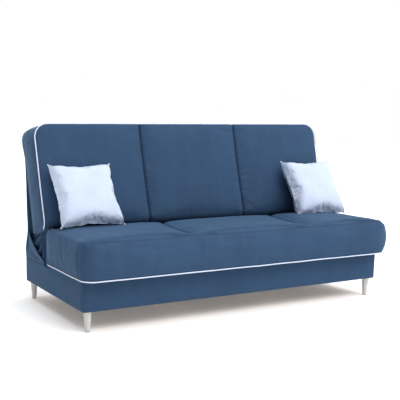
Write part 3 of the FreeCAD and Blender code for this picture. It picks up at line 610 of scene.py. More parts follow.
def trim_tree(trim: Trim) -> bpy.types.NodeTree:
    """Geometry tree that turns a path into a covered cord or a row of stitches.

    Args:
        trim: Which of the two.

    Returns:
        The node group.
    """
    tree = bpy.data.node_groups.new(trim.value, "GeometryNodeTree")
    sockets = (("Geometry", "Geometry", None), ("Radius", "Float", 0.004), ("Spacing", "Float", 0.006),
               ("Length", "Float", 0.004), ("Unevenness", "Float", 0.0002), ("Sides", "Int", 10),
               ("Seed", "Int", 3), ("Material", "Material", None))
    for name, kind, usual in sockets:
        socket = tree.interface.new_socket(name, in_out="INPUT", socket_type="NodeSocket" + kind)
        if usual is not None:
            socket.default_value = usual
    tree.interface.new_socket("Geometry", in_out="OUTPUT", socket_type="NodeSocketGeometry")
    n = Nodes(tree)
    given = n.add("NodeGroupInput").outputs
    radius = given["Radius"]

    def made(kind: str, inputs: dict, **settings: object) -> bpy.types.NodeSocket:
        """First result of a new geometry node."""
        return n.add("GeometryNode" + kind, inputs, **settings).outputs[0]

    path = made("MeshToCurve", {0: given["Geometry"]})
    even = made("ResampleCurve", {"Curve": path, "Length": given["Spacing"]}, mode="LENGTH")
    if trim is Trim.CORD:
        ring = made("CurvePrimitiveCircle", {"Resolution": given["Sides"], "Radius": radius})
        solid = made("CurveToMesh", {"Curve": even, "Profile Curve": ring, "Fill Caps": True})
        wobble = n.add("FunctionNodeRandomValue", {"Seed": given["Seed"]}, data_type="FLOAT_VECTOR")
        n.link(given["Unevenness"], wobble.inputs[1])
        n.link(n.math("MULTIPLY", given["Unevenness"], -1.0), wobble.inputs[0])
        shaped = made("SetPosition", {"Geometry": solid, "Offset": wobble.outputs[0]})
    else:
        bead = made("MeshUVSphere", {"Segments": 6, "Rings": 4, "Radius": radius})
        share = n.math("DIVIDE", given["Length"], n.math("MULTIPLY", radius, 2.0))
        stretch = n.add("ShaderNodeCombineXYZ", {0: 1.0, 1: 1.0, 2: share}).outputs[0]
        long = made("Transform", {"Geometry": bead, "Scale": stretch})
        tangent = made("InputTangent", {})
        along = n.add("FunctionNodeAlignRotationToVector", {"Vector": tangent}, axis="Z").outputs[0]
        spots = made("InstanceOnPoints", {"Points": even, "Instance": long, "Rotation": along})
        shaped = made("RealizeInstances", {0: spots})
    real = made("RealizeInstances", {0: made("SetShadeSmooth", {"Geometry": shaped})})
    dressed = made("SetMaterial", {"Geometry": real, "Material": given["Material"]})
    n.link(dressed, n.add("NodeGroupOutput").inputs[0])
    return tree


class Trimmer:
    """Runs trims along paths."""

    def __init__(self, wardrobe: Wardrobe) -> None:
        """Builds both geometry trees."""
        self.wardrobe = wardrobe
        self.trees = {trim: trim_tree(trim) for trim in Trim}

    def run(self, name: str, paths: list[np.ndarray], trim: Trim, finish: str,
            **sizes: float) -> bpy.types.Object:
        """Makes one trim piece along some paths.

        Args:
            name: The piece's name.
            paths: Arrays of points; each is one run.
            trim: Cord or stitches.
            finish: Key of the finish.
            **sizes: The tree's named inputs.

        Returns:
            The plain mesh object.
        """
        points, edges = [], []
        for path in paths:
            edges += [(len(points) + i, len(points) + i + 1) for i in range(len(path) - 1)]
            points += list(path)
        piece = make_object(name, np.array(points), [], edges)
        tree = self.trees[trim]
        modifier = piece.modifiers.new(trim.value, "NODES")
        modifier.node_group = tree
        values = {"Material": self.wardrobe.made[finish], **sizes}
        for item in tree.interface.items_tree:
            if item.in_out == "INPUT" and item.name in values:
                modifier[item.identifier] = values[item.name]
        bake(piece)
        self.wardrobe.dress(piece, finish)
        return piece


# ---- Sewn pads -------------------------------------------------------------------------------
SEAM_STITCH = {"Radius": 0.0006, "Spacing": 0.0052, "Length": 0.0038}
STITCH_LIFT = 0.0003
PIPING = 0.0031
PIPING_CORD = {"Radius": PIPING, "Spacing": 0.008, "Sides": 12}
CLOTH = 0.0016


@dataclass
class Pad:
    """A sewn pad in hinge coordinates: x along the sofa, s out from the crease, t above the hinge."""
    name: str
    body: str
    hinge: Vector
    half: float
    near: float
    far: float
    top: float
    thick: float
    near_radius: float
    far_radius: float
    side_radius: float
    seams: tuple[tuple[float, float], ...]
    seam_reach: float
    crown: float
    corner_radius: float = 0.065
    cell: float = 0.012
    foot_radius: float = 0.006
    swell: float = 0.009
    up: Vector = field(default_factory=lambda: Vector((0, -1, 0)))
    out: Vector = field(default_factory=lambda: Vector((0, 0, 1)))
    rear_bulge: float = 0.0
    front_bulge: float = 0.0
    end_bulge: tuple[float, float] = (0.0, 0.0)
    rear_rise: float = 0.0
    edge_seam: float = 0.0
    fullness: float = 2.6
    right_radius: float = 0.0
    rear_corner: float = 0.065

    @property
    def bottom(self) -> float:
        """Height of the pad's underside."""
        return self.top - self.thick

    def seam_x(self, index: int, s: np.ndarray) -> np.ndarray:
        """Where a section seam runs.

        Args:
            index: Which seam.
            s: Distances from the crease.

        Returns:
            The seam's x at each distance.
        """
        start, end = self.seams[index]
        share = np.clip((s - self.near) / (self.far - self.near), 0, 1)
        return start + (end - start) * share ** 0.8

    def seam_distance(self, x: np.ndarray, s: np.ndarray) -> np.ndarray:
        """Distance from the nearest section seam."""
        return np.min([np.abs(x - self.seam_x(i, s)) for i in range(len(self.seams))], axis=0)

    def section_crown(self, x: np.ndarray, s: np.ndarray) -> np.ndarray:
        """How full the filling stands.

        Args:
            x: Places along the sofa.
            s: Their distances from the crease.

        Returns:
            0 at a seam or an end, 1 in the middle of a section.
        """
        lines = [self.seam_x(i, s) for i in range(len(self.seams))]
        edges = [np.full_like(x, -self.half), *lines, np.full_like(x, self.half)]
        value = np.zeros_like(x)
        for left, right in zip(edges, edges[1:]):
            u = np.clip((x - left) / (right - left) * 2 - 1, -1, 1)
            inside = (x >= left) & (x <= right)
            value = np.where(inside, 1 - np.abs(u) ** self.fullness, value)
        return value

    def shape(self, box: np.ndarray) -> np.ndarray:
        """Moves points of the plain box to the sewn shape.

        Args:
            box: Rows of x, s, t in the pad's box.

        Returns:
            Rows of x, s, t on the rounded, crowned pad.
        """
        x, s, t = box.T.copy()
        tall = smooth(self.bottom + 0.25 * self.thick, self.top - 0.01, t)
        s, t = round_edge(s, t, -self.near, self.top, self.near_radius, u_sign=-1.0)
        s, t = round_edge(s, t, self.far, self.top, self.far_radius)
        side, end = np.sign(x), np.abs(x)
        end_radius = np.where(x > 0, max(self.side_radius, self.right_radius), self.side_radius)
        end, t = round_edge(end, t, self.half, self.top, end_radius)
        end, t = round_edge(end, t, self.half, -self.bottom, self.foot_radius, v_sign=-1.0)
        s, t = round_edge(s, t, self.far, -self.bottom, self.foot_radius, v_sign=-1.0)
        corner = self.rear_corner + (self.corner_radius - self.rear_corner) * tall
        end, s = round_edge(end, s, self.half, self.far, corner)
        x = side * end
        share = np.clip((s - self.near) / (self.far - self.near), 0, 1)
        dome = np.clip(1 - np.abs(share * 2 - 1) ** 3, 0, 1)
        face = tall ** 3
        fade = 1 - smooth(self.seam_reach - 0.06, self.seam_reach + 0.03, s)
        away = self.seam_distance(x, s)
        t = t + face * (self.crown * (self.section_crown(x, s) - 0.75) * (0.12 + 0.88 * dome))
        t = t - face * fade * 0.007 * np.exp(-(away / 0.022) ** 2)
        middle = np.clip((t - self.bottom) / self.thick, 0, 1)
        belly = np.sin(np.pi * middle) * smooth(self.far - 0.06, self.far, s) * self.front_bulge
        s = s + belly * (1 - smooth(self.half - 0.1, self.half, np.abs(x)) * 0.6)
        bulge = np.where(x > 0, self.end_bulge[1], self.end_bulge[0]) * np.sin(np.pi * middle ** 0.8)
        near_end = smooth(self.half - 0.05, self.half, np.abs(x))
        x = x + side * bulge * near_end * smooth(self.near, self.near + 0.25, s)
        s = s + self.rear_rise * (1 - middle) * smooth(self.far - 0.15, self.far, s)
        under = smooth(self.bottom + 0.03, self.bottom, t)
        t = t - under * self.rear_bulge * smooth(0.38, 0.52, s) * (1 - smooth(self.far - 0.03, self.far, s) * 0.5)
        return np.stack([x, s, t], axis=1)

    def place(self, local: np.ndarray) -> np.ndarray:
        """From hinge coordinates to the row frame."""
        hinge, up, out = (np.array(v) for v in (self.hinge, self.up, self.out))
        return hinge + local[:, :1] * np.array([1.0, 0, 0]) + local[:, 1:2] * up + local[:, 2:] * out

    def local(self, points: np.ndarray) -> np.ndarray:
        """From the row frame back to hinge coordinates.

        Args:
            points: Rows in the row frame.

        Returns:
            Rows of x, s, t.
        """
        hinge, up, out = (np.array(v) for v in (self.hinge, self.up, self.out))
        away = points - hinge
        return np.stack([points[:, 0], away @ up, away @ out], axis=1)

    def build(self) -> bpy.types.Object:
        """Sews and fills the pad.

        Returns:
            The pad as one closed mesh.
        """
        spans = (2 * self.half, self.far - self.near, self.thick)
        unit, faces = box_grid(tuple(max(8, round(span / self.cell)) for span in spans))
        box = unit * np.array(spans) + np.array([-self.half, self.near, self.bottom])
        sewn = self.shape(box)
        piece = make_object(self.name, self.place(sewn), faces)
        x, s, t = sewn.T
        away = self.seam_distance(x, s)
        on_top = smooth(self.top - 0.05, self.top - 0.02, t)
        fade = 1 - smooth(self.seam_reach - 0.05, self.seam_reach + 0.02, s)
        seam = on_top * fade * (away < self.cell * 0.9)
        low = smooth(self.bottom + 0.045, self.bottom + 0.012, t)
        crease = 1 - smooth(self.near + 0.01, self.near + 0.05, s)
        pins = np.clip(np.maximum.reduce([seam, low, crease, self.edge_hold(x, s, t)]), 0, 1)
        free = 1 - smooth(0.0, 1.0, np.maximum(low, crease))
        puff(piece, pins, 3.5, 12, self.swell * free + 0.0005, 0.006)
        refine(piece)
        self.sew(piece)
        return piece

    def edge_hold(self, x: np.ndarray, s: np.ndarray, t: np.ndarray) -> np.ndarray:
        """Hold along the side edges of the face and the upright corner seams.

        Args:
            x: Places along the sofa.
            s: Their distances from the crease.
            t: Their heights above the hinge.

        Returns:
            0 where the fabric is free, 1 where it is held.
        """
        edge = smooth(0.034, 0.012, self.half - np.abs(x)) * smooth(self.top - 0.04, self.top - 0.016, t)
        upright = (np.abs(x) > self.half - 0.012) * smooth(0.022, 0.006, np.abs(s - (self.far - self.corner_radius)))
        return np.maximum(0.7 * edge, upright)

    def sew(self, piece: bpy.types.Object) -> None:
        """Presses the seams in, with small puckers beside them, and marks them so the finish paints shade into them.

        Args:
            piece: The filled pad.
        """
        points = points_of(piece.data)
        x, s, t = self.local(points).T
        from_end = self.half - np.abs(x)
        on_top = smooth(self.top - 0.05, self.top - 0.025, t)
        seamed = on_top * (1 - smooth(self.seam_reach - 0.04, self.seam_reach + 0.02, s))
        away = self.seam_distance(x, s)
        groove = seamed * np.exp(-(away / 0.0065) ** 2)
        side = (from_end < 0.02) | (s > self.far - 0.02)
        corner = np.where(from_end < 0.03, np.abs(s - (self.far - self.corner_radius - 0.004)), 9.0)
        tall = smooth(self.bottom + 0.008, self.bottom + 0.02, t) * (1 - smooth(self.top - 0.03, self.top - 0.01, t))
        upright = side * tall * np.exp(-(corner / 0.004) ** 2)
        rumple = noise_at(points, 18.0, 1.0) * 0.0011 + noise_at(points, 6.0, 2.0) * 0.0016
        beside = np.exp(-(away / 0.05) ** 2) * seamed
        pucker = noise_at(points * np.array([1.0, 2.2, 2.2]), 26.0, 3.0) * 0.0022 * beside
        normal = normals_of(piece.data)
        tilt = normal @ np.array(self.out)
        turned = np.exp(-((tilt - 0.80) / 0.06) ** 2) * smooth(self.near + 0.06, self.near + 0.10, s)
        border = self.edge_seam * on_top * turned
        firm = smooth(self.bottom + 0.002, self.bottom + 0.03, t) * smooth(self.near + 0.004, self.near + 0.03, s)
        depth = (rumple + pucker) * firm - groove * 0.0075 - upright * 0.0022 - border * 0.0012
        set_points(piece.data, points + normal * depth[:, None])
        # Painted shade: the seam attribute darkens the pressed section grooves, the upright corner seams and the
        # turned edge seam.
        mark(piece, "seam", np.clip(groove * 1.3 + upright * 0.5 + border * 0.6, 0, 1))

    def rim(self, t: float, clearance: float, start: float, step: float = 0.012) -> np.ndarray:
        """Path just outside the pad's two ends and far edge at one height.

        Args:
            t: Height in hinge coordinates.
            clearance: How far outside the fabric.
            start: Distance from the crease where it begins and ends.
            step: Spacing of the points.

        Returns:
            Points in the row frame.
        """
        half, far, radius = self.half + clearance, self.far + clearance, self.corner_radius + clearance
        side = np.arange(start, far - radius, step)
        left = [(-half, s) for s in side]
        left += [(-half + radius - radius * math.cos(a), far - radius + radius * math.sin(a))
                 for a in np.linspace(0, math.pi / 2, 12)]
        across = [(x, far) for x in np.arange(-half + radius + step, half - radius, step)]
        right = [(-x, s) for x, s in reversed(left)]
        flat = np.array(left + across + right)
        return np.column_stack([flat, np.full(len(flat), t)])

    def seam_paths(self, piece: bpy.types.Object, last: float, count: int) -> list[np.ndarray]:
        """Drops the section seams on to the pad's finished skin.

        Args:
            piece: The finished pad.
            last: Distance from the crease at which the stitches end.
            count: Points in each seam.

        Returns:
            A path in the row frame for each seam.
        """
        tree = BVHTree.FromObject(piece, bpy.context.evaluated_depsgraph_get())
        s = np.linspace(self.near + 0.05, last, count)
        paths = []
        for index in range(len(self.seams)):
            line = np.column_stack([self.seam_x(index, s), s, np.full_like(s, self.top)])
            hits = [tree.ray_cast(Vector(point) + self.out * 0.08, -self.out, 0.2) for point in self.place(line)]
            paths.append(np.array([hit[0] + hit[1] * STITCH_LIFT for hit in hits if hit[0] is not None]))
        return paths


@dataclass
class BackPad(Pad):
    """The back's pad, whose face is edged with piping."""

    def edge_hold(self, x: np.ndarray, s: np.ndarray, t: np.ndarray) -> np.ndarray:
        """Holds the piped edge of the face."""
        edge = np.minimum(self.half - np.abs(x), self.far - s)
        return smooth(0.02, 0.012, edge) * smooth(self.top - 0.03, self.top - 0.012, t)


# ---- Sub-assemblies --------------------------------------------------------------------------
@dataclass
class Seat:
    """Seat pad, its lower piping, its seam stitches and the dust cloth underneath."""
    wardrobe: Wardrobe
    trimmer: Trimmer
    hinge: Vector
    gap: float = 0.008
    length: float = 0.528
    thick: float = 0.195
    face: float = 0.015

    def build(self) -> None:
        """Makes every piece of the seat."""
        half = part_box("seat_cover")[1][0]
        pad = Pad("seat_pad", "seat", self.hinge, half, self.gap, self.gap + self.length, self.face, self.thick,
                  near_radius=0.045, far_radius=0.034, side_radius=0.014, right_radius=0.05,
                  seams=((-0.25, -0.335), (0.50, 0.395)), seam_reach=0.50, edge_seam=0.8,
                  crown=0.012, fullness=4.0, front_bulge=0.006, end_bulge=(0.008, 0.032))
        piece = pad.build()
        self.wardrobe.dress(piece, "velvet_blue")
        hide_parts("seat_cover", "seat_foam", "seat_felt")
        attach(piece, "seat")
        log.info("seat pad: %d faces", len(piece.data.polygons))

        path = pad.rim(pad.bottom + PIPING, PIPING * 0.75, 0.036)
        path[:, 2] += 0.0015 * noise_at(path, 5.0, 4.0)
        cord = self.trimmer.run("seat_piping_cord", [pad.place(path)], Trim.CORD, "piping_pale", **PIPING_CORD)
        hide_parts("seat_piping")
        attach(cord, "seat")

        seams = pad.seam_paths(piece, pad.seam_reach - 0.02, 90)
        stitches = self.trimmer.run("seat_seam_stitches", seams, Trim.STITCH, "velvet_blue", **SEAM_STITCH)
        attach(stitches, "seat")
        self.dust_cloth()

    def dust_cloth(self) -> None:
        """Thin cloth stapled under the seat frame."""
        low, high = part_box("seat_dust_cloth")
        n, m, thin = 60, 24, 0.0006
        rows = np.zeros((m, n, 3))
        rows[..., 0] = np.linspace(low[0], high[0], n)[None, :]
        rows[..., 1] = np.linspace(low[1], high[1], m)[:, None]
        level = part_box("seat_cover")[0][2] - thin
        rows[..., 2] = level + 0.0002 * noise_at(rows.reshape(-1, 3), 12.0, 5.0).reshape(m, n)
        cloth = grid_sheet("seat_dust_sheet", rows, thin)
        self.wardrobe.dress(cloth, "dust_cloth")
        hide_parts("seat_dust_cloth")
        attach(cloth, "seat")
        inset, short = 0.012, 0.03
        left, right, near, far = low[0] + inset, high[0] - inset, low[1] + inset, high[1] - inset
        runs = [((left, near), (right, near)), ((left, far), (right, far)),
                ((left, low[1] + short), (left, high[1] - short)), ((right, low[1] + short), (right, high[1] - short))]
        edge = [np.array([[x, y, level - thin] for x, y in run]) for run in runs]
        staples = self.trimmer.run("dust_cloth_staples", edge, Trim.STITCH, "zinc_steel",
                                   Radius=0.0005, Spacing=0.045, Length=0.011)
        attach(staples, "seat")


@dataclass
class Back:
    """Back pad with its piping, seam stitches and the apron behind it."""
    wardrobe: Wardrobe
    trimmer: Trimmer
    hinge: Vector
    gap: float = 0.008
    length: float = 0.565
    thick: float = 0.215
    face: float = 0.015
    lean: float = 15.5

    def build(self) -> None:
        """Makes every piece of the back."""
        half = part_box("back_cover")[1][0]
        lean = math.radians(self.lean)
        up = Vector((0, math.sin(lean), math.cos(lean)))
        out = Vector((0, -math.cos(lean), math.sin(lean)))
        pad = BackPad("back_pad", "back", self.hinge, half, self.gap, self.gap + self.length, self.face, self.thick,
                      near_radius=0.05, far_radius=0.012, side_radius=0.010, corner_radius=0.078,
                      rear_corner=0.045, seams=((-0.315, -0.315), (0.325, 0.325)), seam_reach=0.60,
                      crown=0.013, rear_bulge=0.026, rear_rise=0.020, up=up, out=out)
        piece = pad.build()
        self.wardrobe.dress(piece, "velvet_blue")
        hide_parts("back_cover", "back_foam", "back_felt")
        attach(piece, "back")
        log.info("back pad: %d faces", len(piece.data.polygons))

        path = pad.rim(pad.top - 0.004, PIPING * 0.45, pad.near + 0.004)
        drop = np.clip(1 - (path[:, 1] - pad.near) / pad.near_radius, 0, 1)
        path[:, 2] -= pad.near_radius * (1 - np.sqrt(np.clip(1 - drop ** 2, 0, 1))) * 0.92
        path[:, 2] -= pad.crown * 0.275 * smooth(0.0, 0.25, path[:, 1] - pad.near)
        cord = self.trimmer.run("back_piping_cord", [pad.place(path)], Trim.CORD, "piping_pale", **PIPING_CORD)
        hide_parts("back_piping")
        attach(cord, "back")

        seams = pad.seam_paths(piece, pad.far - 0.02, 110)
        stitches = self.trimmer.run("back_seam_stitches", seams, Trim.STITCH, "velvet_blue", **SEAM_STITCH)
        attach(stitches, "back")
        self.apron(pad)

    def apron(self, pad: Pad) -> None:
        """Loose cloth from the back's rear down to the rear rim of the box.

        Args:
            pad: The back's pad.
        """
        low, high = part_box("rear_apron")
        tall = pad.bottom - 0.0015
        head = pad.place(np.array([[0.0, 0.455, tall]]))[0]
        line = np.array([[head[1], head[2]], [head[1] - 0.012, head[2] - 0.14], [0.386, 0.52], [0.380, 0.42],
                         [0.402, 0.30], [high[1] - 0.004, low[2] + 0.001]])
        reach = np.concatenate([[0], np.cumsum(np.hypot(*np.diff(line, axis=0).T))])
        n, m = 46, 150
        at = np.linspace(0, reach[-1], n)
        y, z = np.interp(at, reach, line[:, 0]), np.interp(at, reach, line[:, 1])
        for _ in range(3):
            y[1:-1] = (y[:-2] + 2 * y[1:-1] + y[2:]) / 4
            z[1:-1] = (z[:-2] + 2 * z[1:-1] + z[2:]) / 4
        rows = np.zeros((n, m, 3))
        flare = 0.001 + 0.013 * smooth(0.0, 0.12, z - low[2])[:, None]
        rows[..., 0] = np.linspace(-1, 1, m)[None, :] * (high[0] + flare)
        rows[..., 1], rows[..., 2] = y[:, None], z[:, None]
        slack = np.sin(np.linspace(0, math.pi, n))[:, None]
        flat = rows.reshape(-1, 3) * np.array([1.0, 0.3, 0.3])
        rows[..., 1] += slack * 0.006 * noise_at(flat, 9.0, 6.0).reshape(n, m)
        piece = grid_sheet("rear_apron_cloth", rows, CLOTH)
        self.wardrobe.dress(piece, "velvet_blue")
        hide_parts("rear_apron")
        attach(piece, "back")
        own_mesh(piece)

    def normal(self) -> Vector:
        """Outward direction of the back's rear face."""
        lean = math.radians(self.lean)
        return Vector((0, math.cos(lean), -math.sin(lean)))


@dataclass
class Cushion:
    """One loose cushion, filled flat and then leant on the back."""
    wardrobe: Wardrobe
    trimmer: Trimmer
    node: str
    body: str
    turn: float
    seed: float
    nudge: tuple[float, float, float]
    cut: float = 0.385
    full: float = 0.125
    bow: float = 0.07
    lean: float = 31.0
    cells: int = 64

    def build(self) -> None:
        """Fills, places and dresses the cushion."""
        low, high = (Vector(c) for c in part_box(self.node))
        n = self.cells
        unit, faces = box_grid((n, n, 2))
        u, v = unit[:, 0] * 2 - 1, unit[:, 1] * 2 - 1
        hem = np.maximum(np.abs(u), np.abs(v))
        points = self.flat_case(unit, u, v, hem)
        piece = make_object(self.node + "_filled", points, faces)
        puff(piece, np.zeros(len(points)), 5.0, 22, 0.060, 0.05, stiff=12.0, bend=0.08)
        made = points_of(piece.data)
        made[:, 2] *= self.full / max(np.ptp(made[:, 2]), 1e-6)
        size = np.ptp(made[:, :2], axis=0)
        made[:, :2] *= (high[0] - low[0] - 0.004) / max(size)
        # The filling settles towards the lower seam.
        made[:, 2] *= 1 + 0.10 * smooth(0.2, -0.9, made[:, 1] / (size[1] / 2))
        wobble = noise_at(made, 9.0, self.seed) * 0.004
        made += normals_of(piece.data) * (wobble * (1 - hem ** 3))[:, None]
        placed = self.lean_back(made, (low + high) / 2 + Vector(self.nudge))
        set_points(piece.data, placed)
        refine(piece)
        mark(piece, "seam", np.zeros(len(piece.data.vertices)))
        self.wardrobe.dress(piece, "velvet_pale")
        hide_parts(self.node)
        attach(piece, self.body)
        ring = np.flatnonzero((hem > 0.9999) & (np.abs(unit[:, 2] - 0.5) < 0.01))
        ring = ring[np.argsort(np.arctan2(v[ring], u[ring]))]
        path = placed[np.append(ring, ring[0])]
        cord = self.trimmer.run(self.node + "_seam", [path], Trim.CORD, "velvet_pale",
                                Radius=0.0017, Spacing=0.006, Sides=6, Unevenness=0.0001)
        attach(cord, self.body)
        log.info("%s: %d faces", self.node, len(piece.data.polygons))

    def flat_case(self, unit: np.ndarray, u: np.ndarray, v: np.ndarray, hem: np.ndarray) -> np.ndarray:
        """The sewn case before it is filled.

        Args:
            unit: Points of the box grid, each from 0 to 1.
            u: Across the case, -1 to 1.
            v: Up the case, -1 to 1.
            hem: 0 in the middle, 1 at the seam.

        Returns:
            Rows of x, y, z.
        """
        points = (unit - 0.5) * np.array([self.cut, self.cut, 0.012])
        points[:, 2] *= np.clip((1 - hem ** 6) + 0.12, 0, 1)
        ear = np.clip(np.abs(u * v), 0, 1) ** 3
        points[:, :2] *= (1 + 0.006 * ear)[:, None]
        points[:, 0] += np.sign(u) * self.bow * np.abs(u) * (1 - v ** 2) * self.cut * 0.5
        points[:, 1] += np.sign(v) * self.bow * np.abs(v) * (1 - u ** 2) * self.cut * 0.5
        start = 0.012
        points[:, 2] += np.sign(points[:, 2]) * start * (1 - u ** 2) * (1 - v ** 2)
        return points

    def lean_back(self, made: np.ndarray, middle: Vector) -> np.ndarray:
        """Leans the flat cushion back, turns it and moves it to its place.

        Args:
            made: Rows of x, y, z of the flat cushion.
            middle: Where its middle goes.

        Returns:
            Rows in the row frame.
        """
        lean, turn = math.radians(self.lean), math.radians(self.turn)
        c, s = math.cos(turn), math.sin(turn)
        x, y, z = made.T
        ty, tz = y * math.sin(lean) - z * math.cos(lean), y * math.cos(lean) + z * math.sin(lean)
        return np.stack([x * c - ty * s + middle[0], x * s + ty * c + middle[1], tz + middle[2]], axis=1)


@dataclass
class Box:
    """Cover of the bedding box, with the loose flaps at its rear corners."""
    wardrobe: Wardrobe
    trimmer: Trimmer
    hinge: Vector
    corner: float = 0.012
    tuck: float = 0.020
    cells: tuple[int, int] = (104, 48)

    def build(self) -> None:
        """Makes the cover, its hem stitches and the flaps."""
        low, high = (np.array(c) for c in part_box("box_cover"))
        rear_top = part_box("box_rear_panel")[1][2] + 0.0015
        step = self.hinge[1] - 0.022
        ring = self.outline(low, high)
        levels = [*np.linspace(low[2] + 0.001, high[2] - 0.004, 18), high[2] - 0.0015, high[2] - 0.0005]
        rows = [np.column_stack([ring, np.full(len(ring), z)]) for z in levels]
        for inset, drop in ((0.004, 0.0), (0.010, 0.0003), (0.0165, 0.0008), (0.019, 0.006), (0.0193, 0.03)):
            inner = self.outline(low + np.array([inset, inset, 0]), high - np.array([inset, inset, 0]))
            rows.append(np.column_stack([inner, np.full(len(inner), high[2] - 0.0004 - drop)]))
        rows = np.array(rows)
        cap = np.where(rows[..., 1] > step, rear_top, high[2])
        share = (rows[..., 2] - low[2]) / (high[2] - low[2])
        rows[..., 2] = low[2] + share * (cap - low[2])
        flat = rows.reshape(-1, 3)
        swell = noise_at(flat * np.array([1, 1, 1.6]), 7.0, 7.0).reshape(rows.shape[:2]) * 0.0006
        rows[..., 1] += np.where(rows[..., 1] < low[1] + 0.01, swell, 0)
        rows = np.concatenate([rows, rows[:, :1]], axis=1)
        piece = grid_sheet("box_cover_cloth", rows, CLOTH)
        x, y, _ = points_of(piece.data).T
        # Painted shade: the seam attribute darkens the cover along the upright seams near its front corners.
        corner = np.abs(np.abs(x) - (high[0] - 0.001)) + np.abs(y - (low[1] + self.corner + 0.004))
        mark(piece, "seam", np.exp(-(corner / 0.004) ** 2) * 0.8)
        self.wardrobe.dress(piece, "velvet_blue")
        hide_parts("box_cover")
        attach(piece, "base")
        lift = np.array([STITCH_LIFT, STITCH_LIFT, 0])
        hem = self.outline(low - lift, high + lift)
        path = np.column_stack([hem, np.full(len(hem), low[2] + 0.012)])
        stitches = self.trimmer.run("box_hem_stitches", [np.vstack([path, path[:1]])], Trim.STITCH, "velvet_blue",
                                    Radius=0.0006, Spacing=0.0055, Length=0.004)
        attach(stitches, "base")
        for side, name in SIDES:
            self.flap(side, name)

    def outline(self, low: np.ndarray, high: np.ndarray) -> np.ndarray:
        """Rounded rectangle round the box, anticlockwise from the front left corner.

        Args:
            low: The box's low corner.
            high: Its high corner.

        Returns:
            Rows of x and y.
        """
        r = self.corner
        points: list[tuple[float, float]] = []
        turns = [(low[0] + r, low[1] + r, math.pi), (high[0] - r, low[1] + r, 1.5 * math.pi),
                 (high[0] - r, high[1] - r, 0.0), (low[0] + r, high[1] - r, 0.5 * math.pi)]
        for index, (cx, cy, start) in enumerate(turns):
            points += [(cx + r * math.cos(start + a), cy + r * math.sin(start + a))
                       for a in np.linspace(0, math.pi / 2, 6)]
            nx, ny, after = turns[(index + 1) % 4]
            end = (nx + r * math.cos(after), ny + r * math.sin(after))
            last = points[-1]
            count = self.cells[index % 2]
            points += [(last[0] + (end[0] - last[0]) * k / count, last[1] + (end[1] - last[1]) * k / count)
                       for k in range(1, count)]
        return np.array(points)

    def flap(self, side: int, name: str) -> None:
        """Triangular flap from a rear corner of the box up to the back.

        Args:
            side: -1 for the left-hand end, 1 for the right.
            name: "left" or "right".
        """
        low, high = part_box("side_flap_" + name)
        outer = max(abs(low[0]), abs(high[0]))
        n, m = 30, 26
        foot = low[2] + 0.001
        front = np.array([[low[1], low[2] + 0.02], [low[1] + 0.07, 0.298], [low[1] + 0.14, 0.337],
                          [low[1] + 0.20, 0.378], [0.378, high[2] - 0.003]])
        rear = np.array([[low[1], foot], [low[1] + 0.11, foot], [0.345, foot], [0.456, low[2] + 0.002],
                         [0.392, high[2]]])
        at = np.linspace(0, 1, n)
        front_edge, rear_edge = (
            np.column_stack([np.interp(at, knots, line[:, k]) for k in range(2)])
            for line, knots in ((front, [0, 0.25, 0.5, 0.75, 1.0]), (rear, [0, 0.25, 0.5, 0.72, 1.0])))
        share = np.linspace(0, 1, m)[None, :, None]
        rows = np.zeros((n, m, 3))
        rows[..., 1:] = front_edge[:, None, :] * (1 - share) + rear_edge[:, None, :] * share
        fold = np.sin(share[..., 0] * math.pi * 2.3 + at[:, None] * 2.0) * 0.0035 * np.sin(at * math.pi)[:, None]
        crumple = noise_at(rows.reshape(-1, 3), 30.0, 8.0 + side).reshape(n, m) * 0.0015
        lift = 0.007 * smooth(0.0, 0.05, rows[..., 2] - low[2] - 0.014)
        rows[..., 0] = side * (outer - 0.0005 + lift + (fold + crumple) * smooth(0.0, 0.03, rows[..., 2] - low[2]))
        piece = grid_sheet("side_flap_cloth_" + name, rows, CLOTH)
        self.wardrobe.dress(piece, "velvet_blue")
        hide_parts("side_flap_" + name)
        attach(piece, "base")
        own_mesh(piece)


@dataclass
class Gusset:
    """Pleated fan of cloth that closes the wedge between the pads at one end."""
    wardrobe: Wardrobe
    hinge: Vector
    side: int
    name: str
    inner: float = 0.001
    outer: float = 0.198
    first: float = -97.0
    last: float = -13.0
    pleats: float = 5.0
    depth: float = 0.007
    proud: float = 0.006
    wide: float = 0.32

    def build(self) -> None:
        """Makes and dresses the fan."""
        low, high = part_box("gusset_" + self.name)
        middle = abs(low[0] + high[0]) / 2 + self.proud
        m = 32
        fan, ring = np.linspace(self.first, self.last, 84), np.linspace(self.last + 6, self.first + 350, 24)
        turn = np.concatenate([fan, ring])[:, None]
        n, angle = len(turn), np.radians(turn)
        limit = np.clip(self.outer / np.maximum(np.abs(np.sin(angle)), 0.1), self.outer, self.wide)
        limit = np.where(turn > self.last, 0.0075 + 0.009 * np.exp(-((turn - 72) / 25) ** 2), limit)
        radius = self.inner + (limit - self.inner) * np.linspace(0, 1, m)[None, :]
        inside = smooth(-95.0, -86.0, turn) * (turn <= self.last)
        rows = np.zeros((n, m, 3))
        fold = np.sin((turn - self.first) / (self.last - self.first) * math.pi * 2 * self.pleats)
        rows[..., 0] = self.side * (middle + inside * self.depth * fold * smooth(0.0, 0.1, radius - self.inner))
        rows[..., 1] = self.hinge[1] + radius * np.cos(angle)
        rows[..., 2] = self.hinge[2] + radius * np.sin(angle)
        rows[..., 0] += self.side * 0.001 * noise_at(rows.reshape(-1, 3), 40.0, 9.0).reshape(n, m)
        piece = grid_sheet("gusset_fan_" + self.name, rows, 0.0014)
        # The darker velvet is painted shade for the wedge between the pads.
        self.wardrobe.dress(piece, "gusset_velvet_shaded", "velvet_blue")
        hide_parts("gusset_" + self.name)
        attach(piece, "carrier")
        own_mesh(piece)


